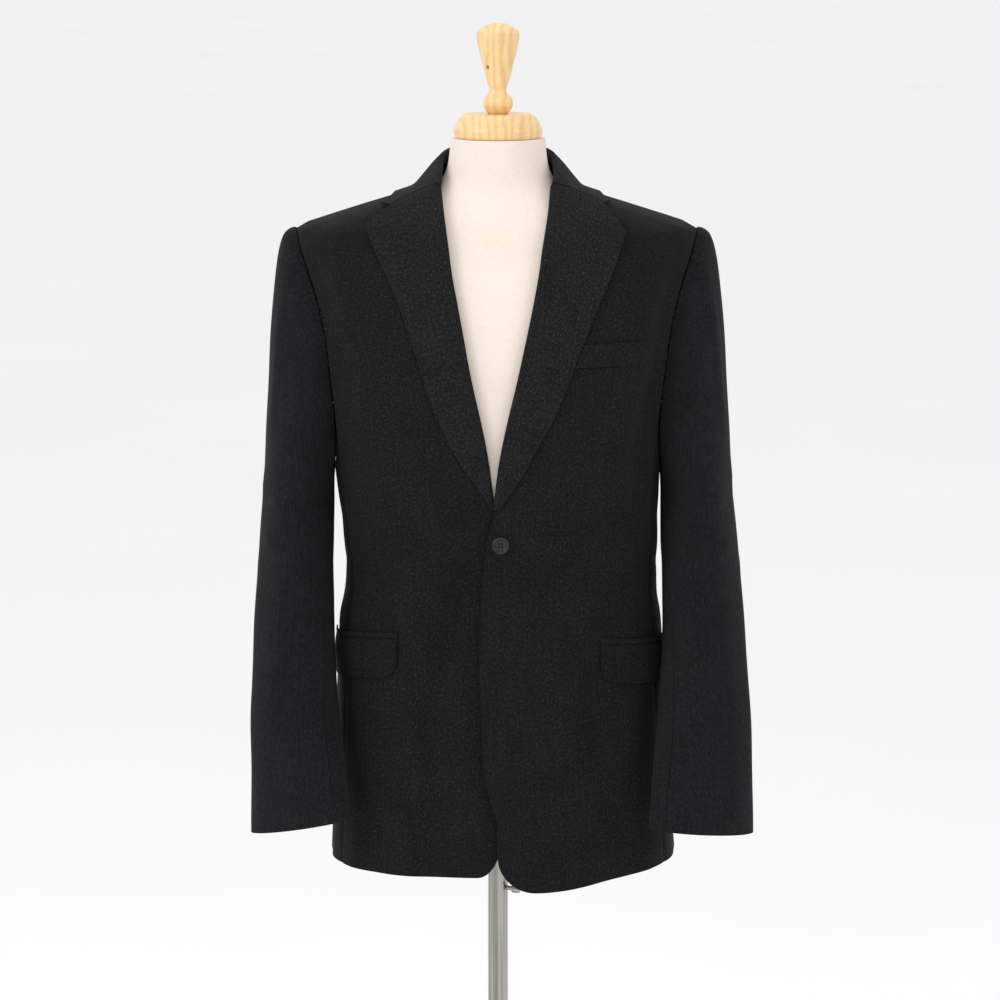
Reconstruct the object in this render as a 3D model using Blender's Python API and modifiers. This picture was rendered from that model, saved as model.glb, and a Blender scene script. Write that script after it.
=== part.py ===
"""A single breasted two-button blazer, buttoned once, on a limbless dress form with a pole stand.

Metres, +Z up. The origin is the centre of the stand's foot, on the floor. The coat faces -Y, so its
own left is +X, and its left front laps over its right front. Each cloth piece is an open surface,
worked out from the coat's sections, with a Solidify that thickens it outwards by one cloth wall.
"""

import math
from bisect import bisect_right
from collections import namedtuple

import bpy
from mathutils import Matrix, Vector

# Cloth and how its pieces meet
CLOTH = 0.0018  # wall of every cloth piece
SEAM = 0.0003  # gap left between two pieces at a seam
LAID = 0.0007  # gap under a piece that lies on a panel
SQUARENESS = 0.2  # how boxy the coat's horizontal sections are

# Heights of the coat
BUTTON_Z = 1.129
V_BOTTOM_Z = 1.167
ARMPIT_Z = 1.205
SIDE_SEAM_TOP_Z = 1.246  # where the side seams run into the armhole
SHOULDER_TIP_Z = 1.472
NECK_Z = 1.532  # top edge of the fronts and backs, under the collar
HEM_TABLE_Z = 0.72  # nominal height of the hem row, before the hem's own curve
HEM_ZONE_Z = 0.86  # the rows below this follow the hem

# Heights and radii of the dress form and its stand
FORM_BOTTOM_Z = 0.80
FORM_EDGE_Z = 0.812  # its lower edge is rounded below this
FORM_TOP_Z = 1.5765
FORM_SEAT = CLOTH + 0.0010  # how far inside the coat's outer surface its shoulders carry it
NECK_RADIUS = 0.0535
POLE_RADIUS = 0.0115
BASE_RADIUS = 0.175
BASE_THICKNESS = 0.010
FLANGE_RADIUS = 0.045
FLANGE_THICKNESS = 0.005
CLAMP_Z = 0.701

# The coat's outer surface: half-widths to its own left and right, depths to its front and back
Section = namedtuple("Section", "z left right front back")
TORSO = [
    Section(0.700, 0.2110, 0.1980, 0.1280, 0.1280),
    Section(0.750, 0.2075, 0.1950, 0.1275, 0.1290),
    Section(0.850, 0.2000, 0.1910, 0.1265, 0.1300),
    Section(0.950, 0.1930, 0.1870, 0.1240, 0.1260),
    Section(1.020, 0.1885, 0.1840, 0.1210, 0.1150),
    Section(1.075, 0.1830, 0.1755, 0.1195, 0.1030),
    Section(1.130, 0.1835, 0.1790, 0.1220, 0.1040),
    Section(1.200, 0.1860, 0.1865, 0.1280, 0.1130),
    Section(1.246, 0.1900, 0.1915, 0.1310, 0.1170),
    Section(1.310, 0.2005, 0.2015, 0.1315, 0.1205),
    Section(1.370, 0.2090, 0.2105, 0.1245, 0.1205),
    Section(1.424, 0.2200, 0.2225, 0.1110, 0.1150),
    Section(1.455, 0.2265, 0.2285, 0.0990, 0.1080),
    Section(1.472, 0.2275, 0.2295, 0.0905, 0.1030),
    Section(1.480, 0.2160, 0.2180, 0.0855, 0.1000),
    Section(1.490, 0.1860, 0.1880, 0.0790, 0.0950),
    Section(1.500, 0.1548, 0.1568, 0.0735, 0.0900),
    Section(1.510, 0.1225, 0.1235, 0.0675, 0.0840),
    Section(1.520, 0.0950, 0.0960, 0.0620, 0.0770),
    Section(1.532, 0.0800, 0.0810, 0.0560, 0.0680),
]
ROW_HEIGHTS = [
    HEM_TABLE_Z, 0.745, 0.79, HEM_ZONE_Z, 0.93, 0.98, 1.03, 1.075, 1.12, V_BOTTOM_Z, ARMPIT_Z,
    SIDE_SEAM_TOP_Z, 1.285, 1.325, 1.365, 1.40, 1.43, 1.455, SHOULDER_TIP_Z, 1.48, 1.49, 1.50,
    1.51, 1.52, NECK_Z,
]

# Front edges as X at a height. "over" is the left front, which laps over the "under" right front
EdgePoint = namedtuple("EdgePoint", "z over under")
FRONT_EDGE = [
    EdgePoint(0.720, -0.0010, 0.0060),
    EdgePoint(0.771, -0.0010, 0.0060),
    EdgePoint(0.814, -0.0080, 0.0080),
    EdgePoint(0.872, -0.0160, 0.0130),
    EdgePoint(0.945, -0.0200, 0.0180),
    EdgePoint(1.002, -0.0210, 0.0180),
    EdgePoint(1.066, -0.0190, 0.0180),
    EdgePoint(1.130, -0.0130, 0.0130),
    EdgePoint(1.167, -0.0040, -0.0040),
    EdgePoint(1.190, -0.0010, -0.0080),
    EdgePoint(1.240, 0.0080, -0.0165),
    EdgePoint(1.320, 0.0265, -0.0340),
    EdgePoint(1.390, 0.0415, -0.0470),
    EdgePoint(1.450, 0.0530, -0.0585),
    EdgePoint(1.500, 0.0615, -0.0660),
    EdgePoint(1.532, 0.0645, -0.0695),
]
LAPEL_EDGE = [
    EdgePoint(1.170, 0.0010, -0.0085),
    EdgePoint(1.188, 0.0140, -0.0190),
    EdgePoint(1.231, 0.0395, -0.0470),
    EdgePoint(1.288, 0.0685, -0.0740),
    EdgePoint(1.333, 0.0860, -0.0880),
    EdgePoint(1.400, 0.1130, -0.1110),
    EdgePoint(1.443, 0.1310, -0.1310),
    EdgePoint(1.482, 0.1450, -0.1480),
]
# How far the right front sinks behind the left one near the overlap
Recess = namedtuple("Recess", "z depth")
UNDER_RECESS = [
    Recess(0.70, 0.0080), Recess(0.98, 0.0085), Recess(1.07, 0.0068), Recess(1.13, 0.0052),
    Recess(1.17, 0.0050), Recess(1.23, 0.0),
]
RECESS_START_X = -0.075
RECESS_FULL_X = -0.027

# What differs between the two sides of the coat
Side = namedtuple(
    "Side",
    "name sign lap hem_low corner_x corner_width corner_height side_hem roll_x roll_z"
    " notch_x notch_z collar_tip_x collar_tip_z lapel_tip_x lapel_tip_z flap_top_z",
)
LEFT = Side(
    "left", 1, "over", 0.727, -0.001, 0.045, 0.044, 0.749, 0.0635, 1.525,
    0.117, 1.503, 0.1265, 1.5050, 0.143, 1.475, 1.014,
)
RIGHT = Side(
    "right", -1, "under", 0.743, -0.006, 0.030, 0.055, 0.748, 0.0675, 1.524,
    0.119, 1.501, 0.132, 1.5030, 0.148, 1.482, 1.021,
)
BACK_HEM = 0.745

# Seams as angles round the body: 0 is centre front, 90 the side, 180 centre back
Seam = namedtuple("Seam", "z front_side side_back")
SIDE_SEAMS = [
    Seam(0.70, 62, 119), Seam(0.98, 64, 119), Seam(1.12, 67, 115), Seam(SIDE_SEAM_TOP_Z, 70, 110),
]
ARMHOLE_REACH = 24.5  # degrees that the armhole cuts into the front and the back
ARMHOLE_FULLNESS = 2.5  # exponent of its oval

# Sleeve sections from the upper arm down: centre, half-sizes across and fore-and-aft, turn of the
# section about the vertical in degrees, and how much lower its outer end hangs
Cuff = namedtuple("Cuff", "z out forward across fore turn drop")
SLEEVES = {
    "left": [
        Cuff(1.170, 0.2293, 0.010, 0.0400, 0.0740, 0, 0),
        Cuff(1.100, 0.2321, 0.030, 0.0438, 0.0710, 2, 0.001),
        Cuff(1.030, 0.2345, 0.054, 0.0458, 0.0665, 6, 0.002),
        Cuff(0.950, 0.2353, 0.081, 0.0503, 0.0580, 13, 0.005),
        Cuff(0.870, 0.2333, 0.102, 0.0583, 0.0440, 21, 0.007),
        Cuff(0.7995, 0.2313, 0.118, 0.0653, 0.0300, 25, 0.0080),
    ],
    "right": [
        Cuff(1.170, 0.2298, 0.010, 0.0398, 0.0740, 0, 0),
        Cuff(1.100, 0.2318, 0.029, 0.0423, 0.0710, 2, 0.001),
        Cuff(1.030, 0.2328, 0.050, 0.0448, 0.0665, 6, 0.003),
        Cuff(0.950, 0.2326, 0.074, 0.0476, 0.0590, 12, 0.006),
        Cuff(0.870, 0.2278, 0.095, 0.0548, 0.0450, 20, 0.010),
        Cuff(0.803, 0.2246, 0.111, 0.0623, 0.0300, 25, 0.0130),
    ],
}
SLEEVE_CAP_RINGS = (0.0, 0.08, 0.2, 0.38, 0.6, 0.8, 1.0)
SLEEVE_RING_HEIGHTS = (1.10, 1.03, 0.99, 0.95, 0.91, 0.87, 0.83)
FOREARM_SEAM = 150  # the sleeve's front seam, in degrees round it from the outside
HIND_SEAM = -112  # and its back seam

# Collar, from centre back (reach 0) round to the notch (reach 1)
Neck = namedtuple("Neck", "reach fold_x fold_y fold_z edge_angle edge_z")
COLLAR = [
    Neck(0.00, 0.0000, 0.0660, 1.5640, 180, 1.5130),
    Neck(0.20, 0.0300, 0.0600, 1.5635, 156, 1.5125),
    Neck(0.40, 0.0560, 0.0380, 1.5600, 125, 1.5115),
    Neck(0.60, 0.0662, 0.0030, 1.5525, 91, 1.5120),
    Neck(0.80, 0.0668, -0.0320, 1.5400, 70, 1.5095),
]
STAND_REACH = 0.62  # how far round the neck the stand goes
COLLAR_JOIN = 0.80  # from here to reach 1 the collar runs into the gorge seam
COLLAR_SAG = 0.0095  # how much the fall drops below a straight line from fold to edge
SAG_PEAK = 27 / 4  # brings the greatest value of u * u * (1 - u) to 1

LAPEL_LIFT = 0.0030  # how far the lapels stand off the shoulder near their tips

# Trims
FLAP_HEIGHT = 0.046
FLAP_FROM, FLAP_TO = 32.5, 94.0  # degrees round the body
FLAP_FALL = 0.015  # how much lower its back end is than its front end
FLAP_CORNER = 0.016
JET_HEIGHT = 0.005
WELT = {"bottom": 1.3295, "top": 1.3550, "outer_x": 0.165, "rise": 0.002}
BUTTON_RADIUS = 0.0100
BUTTON_THICKNESS = 0.0032
BUTTON_HOLE = 0.0009  # radius of each thread hole
LOWER_BUTTON_Z = 0.983

COLOURS = {
    "blazer_cloth": ((0.0125, 0.0122, 0.0138), 0.9, 0.0),
    "form_jersey": ((0.86, 0.80, 0.70), 0.85, 0.0),
    "turned_wood": ((0.87, 0.58, 0.28), 0.45, 0.0),
    "brushed_steel": ((0.52, 0.50, 0.46), 0.3, 1.0),
    "horn_button": ((0.035, 0.035, 0.040), 0.35, 0.0),
}


def clear_scene():
    for thing in list(bpy.data.objects):
        bpy.data.objects.remove(thing, do_unlink=True)


def collection(name):
    made = bpy.data.collections.new(name)
    bpy.context.scene.collection.children.link(made)
    return made


def material(name):
    colour, roughness, metallic = COLOURS[name]
    made = bpy.data.materials.new(name)
    made.use_nodes = True
    shader = made.node_tree.nodes["Principled BSDF"]
    shader.inputs["Base Color"].default_value = (*colour, 1.0)
    shader.inputs["Roughness"].default_value = roughness
    shader.inputs["Metallic"].default_value = metallic
    return made


# ---- Curves through the tables


def smooth_curve(places, values):
    """A smooth function through the points that never overshoots them."""
    steps = [b - a for a, b in zip(places, places[1:])]
    rises = [(b - a) / step for a, b, step in zip(values, values[1:], steps)]
    inner = [0.0 if p * q <= 0 else 2 * p * q / (p + q) for p, q in zip(rises, rises[1:])]
    slopes = [rises[0], *inner, rises[-1]]

    def at(place):
        place = min(max(place, places[0]), places[-1])
        i = min(bisect_right(places, place) - 1, len(steps) - 1)
        t = (place - places[i]) / steps[i]
        start = values[i] * (1 + 2 * t) * (1 - t) ** 2 + values[i + 1] * t * t * (3 - 2 * t)
        bend = slopes[i] * t * (1 - t) ** 2 - slopes[i + 1] * t * t * (1 - t)
        return start + bend * steps[i]

    return at


def table_curves(rows):
    """One smooth function of the first column for each other column."""
    ordered = sorted(rows, key=lambda row: row[0])
    places = [row[0] for row in ordered]
    names = rows[0]._fields[1:]
    return {name: smooth_curve(places, [getattr(row, name) for row in ordered]) for name in names}


def ease(value):
    """0 below 0, 1 above 1, and smooth between."""
    value = min(max(value, 0.0), 1.0)
    return value * value * (3 - 2 * value)


def mix(a, b, share):
    return a + (b - a) * share


torso = table_curves(TORSO)
front_edge = table_curves(FRONT_EDGE)
lapel_edge = table_curves(LAPEL_EDGE)
side_seams = table_curves(SIDE_SEAMS)
under_recess = table_curves(UNDER_RECESS)["depth"]
sleeves = {name: table_curves(rows) for name, rows in SLEEVES.items()}
collar_line = table_curves(COLLAR)


# ---- The coat's outer surface


def section_x(angle):
    return math.sin(angle) * (1 + SQUARENESS * math.cos(angle) ** 2)


def section_y(angle):
    return math.cos(angle) * (1 + SQUARENESS * math.sin(angle) ** 2)


def torso_skin(side, degrees, z):
    """The outer surface at an angle round the body, on one side of the coat."""
    angle = math.radians(degrees)
    depth = torso["front"](z) if abs(degrees) < 90 else torso["back"](z)
    x = side.sign * torso[side.name](z) * section_x(angle)
    return Vector((x, -depth * section_y(angle), z))


def torso_point(side, degrees, z, out=0.0):
    """The surface moved out along its normal."""
    if not out:
        return torso_skin(side, degrees, z)
    turn, rise = 0.5, 0.001
    around = torso_skin(side, degrees + turn, z) - torso_skin(side, degrees - turn, z)
    upward = torso_skin(side, degrees, z + rise) - torso_skin(side, degrees, z - rise)
    normal = around.cross(upward).normalized() * side.sign
    return torso_skin(side, degrees, z) + normal * out


def angle_of_x(side, x, z):
    """The angle on the front half at which the surface has this X."""
    wanted = side.sign * x / torso[side.name](z)
    low, high = -90.0, 90.0
    for _ in range(40):
        middle = (low + high) / 2
        low, high = (middle, high) if section_x(math.radians(middle)) < wanted else (low, middle)
    return (low + high) / 2


def hem_height(side, degrees):
    """The hem's height: a rounded corner at the front edge, then a slow rise to the side."""
    if degrees >= 90:
        return mix(side.side_hem, BACK_HEM, ease((degrees - 90) / 90))
    x = side.sign * torso_skin(side, degrees, HEM_TABLE_Z).x
    level = mix(side.hem_low, side.side_hem, ease((x - side.corner_width) / 0.16))
    reach = min(max((x - side.corner_x) / side.corner_width, 0.0), 1.0)
    return level + side.corner_height * (1 - math.sqrt(1 - (1 - reach) ** 2))


def hem_warp(side, degrees, z):
    """A nominal row height, bent to the hem in the lowest rows."""
    if z >= HEM_ZONE_Z:
        return z
    share = (z - HEM_TABLE_Z) / (HEM_ZONE_Z - HEM_TABLE_Z)
    return mix(hem_height(side, degrees), HEM_ZONE_Z, share)


def lap_offset(side, x, z):
    """How far the right front sinks behind the left one, as a negative distance out."""
    if side.lap == "over":
        return 0.0
    return -under_recess(z) * ease((x - RECESS_START_X) / (RECESS_FULL_X - RECESS_START_X))


def armhole_angle(z):
    """Degrees that the armhole reaches from the side at this height."""
    middle = (ARMPIT_Z + SHOULDER_TIP_Z) / 2
    share = min(abs(z - middle) / (SHOULDER_TIP_Z - middle), 1.0)
    return ARMHOLE_REACH * (1 - share**ARMHOLE_FULLNESS) ** (1 / ARMHOLE_FULLNESS)


def armhole_bottom(degrees):
    """The height of the armhole's lower edge at this angle round the body."""
    middle = (ARMPIT_Z + SHOULDER_TIP_Z) / 2
    share = min(abs(degrees - 90) / ARMHOLE_REACH, 1.0)
    fall = (1 - share**ARMHOLE_FULLNESS) ** (1 / ARMHOLE_FULLNESS)
    return middle - (middle - ARMPIT_Z) * fall


def seam_degrees(side, z):
    """Half a seam gap as an angle round the body."""
    return math.degrees(SEAM / 2 / torso[side.name](z))


# ---- Making objects


def add_object(name, mesh, paint, parts):
    mesh.materials.append(paint)
    made = bpy.data.objects.new(name, mesh)
    parts.objects.link(made)
    return made


def add_shell(name, rows, parts, paint, wall=CLOTH, out=True):
    """An open surface lofted through rows of points, thickened to one side by a Solidify."""
    count = len(rows[0])
    points = [point for row in rows for point in row]
    faces = [
        (i * count + j, i * count + j + 1, (i + 1) * count + j + 1, (i + 1) * count + j)
        for i in range(len(rows) - 1)
        for j in range(count - 1)
    ]
    mesh = bpy.data.meshes.new(name)
    mesh.from_pydata(points, [], faces)
    mesh.shade_smooth()
    shell = add_object(name, mesh, paint, parts)
    thicken = shell.modifiers.new("Cloth wall", "SOLIDIFY")
    thicken.thickness = wall
    thicken.offset = 1.0 if out else -1.0
    return shell


def outwards(rows, side):
    """Rows ordered so that the loft's faces point out on either side of the coat."""
    return rows if side.sign > 0 else [row[::-1] for row in rows]


def add_turned(name, profile, parts, paint, steps=32):
    """A Screw of a profile of (radius, height), top to bottom down its outer side."""
    mesh = bpy.data.meshes.new(name)
    points = [(radius, 0, z) for radius, z in profile]
    mesh.from_pydata(points, [(i, i + 1) for i in range(len(points) - 1)], [])
    turned = add_object(name, mesh, paint, parts)
    screw = turned.modifiers.new("Turn", "SCREW")
    screw.steps = steps
    screw.render_steps = steps
    screw.use_merge_vertices = True
    screw.merge_threshold = 0.0001
    screw.use_smooth_shade = True
    return turned


# ---- Body panels


def front_row(side, z, columns=12):
    """One row of a front, from its edge to the side seam, the armhole or the shoulder seam."""
    start = angle_of_x(side, front_edge[side.lap](z), z)
    gap = seam_degrees(side, z)
    if z <= SIDE_SEAM_TOP_Z:
        end = side_seams["front_side"](z) - gap
    else:
        end = 90 - armhole_angle(z) - gap
    row = []
    for i in range(columns + 1):
        degrees = mix(start, end, (i / columns) ** 1.3)
        height = hem_warp(side, degrees, z)
        x = torso_skin(side, degrees, height).x
        row.append(torso_point(side, degrees, height, lap_offset(side, x, height) - CLOTH))
    return row


def add_fronts(parts, paint):
    for side in (LEFT, RIGHT):
        rows = [front_row(side, z) for z in ROW_HEIGHTS]
        add_shell(f"front_{side.name}", outwards(rows, side), parts, paint)


def add_side_panels(parts, paint, columns=5):
    """The panel under each arm: its top edge is the bottom of the armhole."""
    heights = [z for z in ROW_HEIGHTS if z <= SIDE_SEAM_TOP_Z]
    bend_z = heights[-4]
    for side in (LEFT, RIGHT):
        rows = []
        for z in heights:
            gap = seam_degrees(side, z)
            start = side_seams["front_side"](z) + gap
            end = side_seams["side_back"](z) - gap
            row = []
            for i in range(columns + 1):
                degrees = mix(start, end, i / columns)
                height = hem_warp(side, degrees, z)
                if z > bend_z:
                    share = (z - bend_z) / (SIDE_SEAM_TOP_Z - bend_z)
                    top = min(armhole_bottom(degrees), SIDE_SEAM_TOP_Z)
                    height = mix(bend_z, top, share)
                row.append(torso_point(side, degrees, height, -CLOTH))
            rows.append(row)
        add_shell(f"side_{side.name}", outwards(rows, side), parts, paint)


def add_backs(parts, paint, columns=8):
    """The back halves, from the side seam or armhole to the centre back seam."""
    for side in (LEFT, RIGHT):
        rows = []
        for z in ROW_HEIGHTS:
            gap = seam_degrees(side, z)
            if z <= SIDE_SEAM_TOP_Z:
                start = side_seams["side_back"](z) + gap
            else:
                start = 90 + armhole_angle(z) + gap
            angles = [mix(start, 180 - gap, i / columns) for i in range(columns + 1)]
            rows.append([torso_point(side, a, hem_warp(side, a, z), -CLOTH) for a in angles])
        add_shell(f"back_{side.name}", outwards(rows, side), parts, paint)


# ---- Sleeves


def oval_power(value):
    return math.copysign(abs(value) ** (2 / ARMHOLE_FULLNESS), value)


def armhole_point(side, around):
    """A point on the armhole seam, just outside the body panels; around is 0 at the shoulder."""
    angle = math.radians(around)
    middle = (ARMPIT_Z + SHOULDER_TIP_Z) / 2
    z = middle + (SHOULDER_TIP_Z - middle) * oval_power(math.cos(angle))
    degrees = 90 - ARMHOLE_REACH * oval_power(math.sin(angle))
    low = ((1 - math.cos(angle)) / 2) ** 2
    return torso_point(side, degrees, z, LAID + (CLOTH + SEAM) * low)


def sleeve_ring_point(side, around, z):
    """A point of the inner face of the sleeve below the upper arm."""
    shape = {name: curve(z) for name, curve in sleeves[side.name].items()}
    angle = math.radians(around)
    turn = math.radians(shape["turn"])
    across = (shape["across"] - CLOTH) * math.cos(angle)
    fore = (shape["fore"] - CLOTH) * math.sin(angle)
    out = shape["out"] + across * math.cos(turn) + fore * math.sin(turn)
    forward = shape["forward"] - across * math.sin(turn) + fore * math.cos(turn)
    return Vector((side.sign * out, -forward, z - shape["drop"] * math.cos(angle)))


def sleeve_cap_point(side, around, share):
    """A Bezier from the armhole, out over the sleeve head and down to the upper arm."""
    high = (1 + math.cos(math.radians(around))) / 2
    start = armhole_point(side, around)
    end = sleeve_ring_point(side, around, SLEEVES[side.name][0].z)
    leave = Vector((side.sign * mix(0.002, 0.0285, high**1.5), 0, mix(-0.010, 0.020, high**2)))
    leave.y = -0.012 * math.sin(math.radians(around)) * mix(1.0, 0.4, high)
    arrive = Vector((-side.sign * 0.009 * high, 0, mix(0.010, 0.130, high**1.2)))
    a, b, c, d = start, start + leave, end + arrive, end
    t, r = share, 1 - share
    return a * r**3 + b * (3 * t * r * r) + c * (3 * t * t * r) + d * t**3


def sleeve_rows(side, angles):
    rows = [
        [sleeve_cap_point(side, around, share) for around in angles]
        for share in SLEEVE_CAP_RINGS
    ]
    heights = [*SLEEVE_RING_HEIGHTS, SLEEVES[side.name][-1].z]
    for z in heights:
        rows.append([sleeve_ring_point(side, around, z) for around in angles])
    return rows


def add_sleeves(parts, paint):
    """Two-piece sleeves: the top sleeve outside and the under sleeve towards the body."""
    gap = math.degrees(SEAM / 2 / 0.04)
    pieces = {
        "top_sleeve": (HIND_SEAM + gap, FOREARM_SEAM - gap, 14),
        "under_sleeve": (FOREARM_SEAM + gap, 360 + HIND_SEAM - gap, 5),
    }
    for side in (LEFT, RIGHT):
        for name, (start, end, columns) in pieces.items():
            angles = [mix(start, end, i / columns) for i in range(columns + 1)]
            rows = sleeve_rows(side, angles)
            add_shell(f"{name}_{side.name}", outwards(rows, side), parts, paint)


# ---- Lapels and collar


def on_front(side, x, z, out):
    """A point laid on a front, moved out from its surface."""
    degrees = angle_of_x(side, x, z)
    return torso_point(side, degrees, z, out + lap_offset(side, x, z))


def bent(share, knee):
    """0 at both ends and 1 at the knee, straight between."""
    return share / knee if share < knee else (1 - share) / (1 - knee)


def lapel_lift(share, t, z):
    """How far a lapel stands off the front: at the roll, and near its tip on the shoulder."""
    return LAID + 0.0016 * (1 - share) ** 2 * ease(t * 3) + LAPEL_LIFT * ease((z - 1.42) / 0.05)


def lapel_rows(side, lengths=13):
    """Rows from the bottom of the V to the gorge seam and the notch; each runs roll to edge."""
    start_z = LAPEL_EDGE[0].z
    knee = (side.notch_x - side.roll_x) / (side.lapel_tip_x - side.roll_x)
    straight = mix(side.roll_z, side.lapel_tip_z, knee)
    shares = [knee * i / 4 for i in range(5)] + [mix(knee, 1.0, 0.5), 1.0]
    rows = []
    for i in range(lengths + 1):
        t = i / lengths
        roll_z = mix(start_z, side.roll_z, t)
        edge_z = mix(start_z, side.lapel_tip_z, t)
        roll_x = front_edge[side.lap](roll_z)
        edge_x = lapel_edge[side.lap](edge_z)
        if i == lengths:
            edge_x = side.sign * side.lapel_tip_x
        rise = (side.notch_z - SEAM - straight) * max(0.0, (t - 0.8) / 0.2) ** 2
        row = []
        for share in shares:
            x = mix(roll_x, edge_x, share)
            z = mix(roll_z, edge_z, share) + rise * bent(share, knee)
            row.append(on_front(side, x, z, lapel_lift(share, t, z)))
        rows.append(row)
    return rows


def add_lapels(parts, paint):
    for side in (LEFT, RIGHT):
        add_shell(f"lapel_{side.name}", outwards(lapel_rows(side), side), parts, paint)


def inside_torso(side, point, gap):
    """Whether a point is less than a gap outside the panels, measured square to them."""
    z = point.z
    if z >= NECK_Z:
        return False
    depth = torso["front"](z) if point.y < 0 else torso["back"](z)
    wanted = math.atan2(abs(point.x) / torso[side.name](z), -point.y / depth)
    low, high = 0.0, 180.0
    for _ in range(24):
        middle = (low + high) / 2
        angle = math.radians(middle)
        here = math.atan2(section_x(angle), section_y(angle))
        low, high = (middle, high) if here < wanted else (low, middle)
    skin = torso_skin(side, low, z)
    normal = torso_point(side, low, z, 1.0) - skin
    return (point.xy.length - skin.xy.length) * normal.xy.length < gap


def clear_of_torso(side, point, gap):
    """The point itself or, if it is inside the panels, the first one up and out from it."""
    if not inside_torso(side, point, gap):
        return point
    away = (Vector((point.x, point.y, 0)).normalized() + Vector((0, 0, 1))).normalized()
    low, high = 0.0, 0.03
    for _ in range(16):
        middle = (low + high) / 2
        low, high = (middle, high) if inside_torso(side, point + away * middle, gap) else (low, middle)
    return point + away * high


def collar_lines(side, reach):
    """The fold and the outer edge of the collar at one reach round the neck."""
    line = {name: curve(reach) for name, curve in collar_line.items()}
    fold = Vector((side.sign * line["fold_x"], line["fold_y"], line["fold_z"]))
    return fold, torso_point(side, line["edge_angle"], line["edge_z"], LAID)


def gorge_point(side, u, knee):
    """A point of the collar's front end: along the gorge seam, then up the notch to the tip."""
    x = side.sign * mix(side.roll_x, side.collar_tip_x, u)
    dip = side.notch_z + 2 * SEAM - mix(side.roll_z, side.collar_tip_z, knee)
    z = mix(side.roll_z + 2 * SEAM, side.collar_tip_z, u) + dip * bent(u, knee)
    return on_front(side, x, z, lapel_lift(u, 1.0, z))


def collar_row(side, reach):
    """One strip of the fall, from the fold to its outer edge, clear of the shoulders."""
    knee = (side.notch_x - side.roll_x) / (side.collar_tip_x - side.roll_x)
    fold, edge = collar_lines(side, min(reach, COLLAR_JOIN))
    share = max(0.0, (reach - COLLAR_JOIN) / (1 - COLLAR_JOIN))
    row = []
    for u in (0, knee / 3, 2 * knee / 3, knee, 1.0):
        point = fold.lerp(edge, u)
        point.z -= COLLAR_SAG * SAG_PEAK * u * u * (1 - u) * ease((reach - 0.1) / 0.4)
        point = point.lerp(gorge_point(side, u, knee), share)
        row.append(point if share == 1 else clear_of_torso(side, point, LAID + 0.0008))
    return row


def add_collar(parts, paint, steps=13):
    """The fall outside and the stand inside, each in one piece round the back of the neck."""
    reaches = [i / steps for i in range(1, steps + 1)]
    fall = [collar_row(RIGHT, reach) for reach in reversed(reaches)]
    fall += [collar_row(LEFT, reach) for reach in (0.0, *reaches)]
    add_shell("collar_fall", [row[::-1] for row in fall], parts, paint)

    stand = []
    inner = [STAND_REACH * i / steps for i in range(steps + 1)]
    places = [(RIGHT, reach) for reach in reversed(inner[1:])] + [(LEFT, reach) for reach in inner]
    for side, reach in places:
        fold, _ = collar_lines(side, reach)
        degrees = 180 - 90 * min(reach / 0.6, 1.0) - 22 * max(0.0, (reach - 0.6) / 0.2)
        seat = torso_point(side, degrees, NECK_Z - 0.001, -CLOTH * 0.8)
        seat.z = NECK_Z + SEAM * 2
        top = Vector((fold.x * 0.955, fold.y * 0.955, fold.z - 0.0035))
        stand.append([top, top.lerp(seat, 0.5), seat])
    add_shell("collar_stand", stand, parts, paint, out=False)


# ---- Pockets


def add_strip(name, side, angles, top_of, bottom_of, parts, paint, lift=LAID, rows=3):
    """A strip laid on the body between two heights that vary round it."""
    grid = []
    for i in range(rows + 1):
        heights = [(a, mix(bottom_of(a), top_of(a), i / rows)) for a in angles]
        grid.append([torso_point(side, a, z, lift) for a, z in heights])
    add_shell(name, outwards(grid, side), parts, paint)


def add_flap_pockets(parts, paint, columns=12):
    angles = [mix(FLAP_FROM, FLAP_TO, i / columns) for i in range(columns + 1)]
    corner = 7.5  # degrees taken by a rounded corner
    for side in (LEFT, RIGHT):

        def top(degrees, side=side):
            return side.flap_top_z - FLAP_FALL * (degrees - FLAP_FROM) / (FLAP_TO - FLAP_FROM)

        def bottom(degrees, top=top):
            near = min(degrees - FLAP_FROM, FLAP_TO - degrees)
            reach = min(near / corner, 1.0)
            return top(degrees) - FLAP_HEIGHT + FLAP_CORNER * (1 - math.sqrt(1 - (1 - reach) ** 2))

        def jet_bottom(degrees, top=top):
            return top(degrees) + SEAM

        def jet_top(degrees, top=top):
            return top(degrees) + SEAM + JET_HEIGHT

        add_strip(f"flap_{side.name}", side, angles, top, bottom, parts, paint)
        add_strip(f"jet_{side.name}", side, angles, jet_top, jet_bottom, parts, paint, rows=1)


def add_chest_welt(parts, paint, columns=6):
    """The welt of the breast pocket; its inner end meets the lapel's edge."""
    rows = []
    for height in (WELT["bottom"], WELT["top"]):
        inner_x = lapel_edge["over"](height) + 0.0012
        row = []
        for i in range(columns + 1):
            x = mix(inner_x, WELT["outer_x"], i / columns)
            z = height + WELT["rise"] * i / columns
            row.append(on_front(LEFT, x, z, LAID))
        rows.append(row)
    add_shell("chest_welt", rows, parts, paint)


# ---- Buttons


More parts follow.
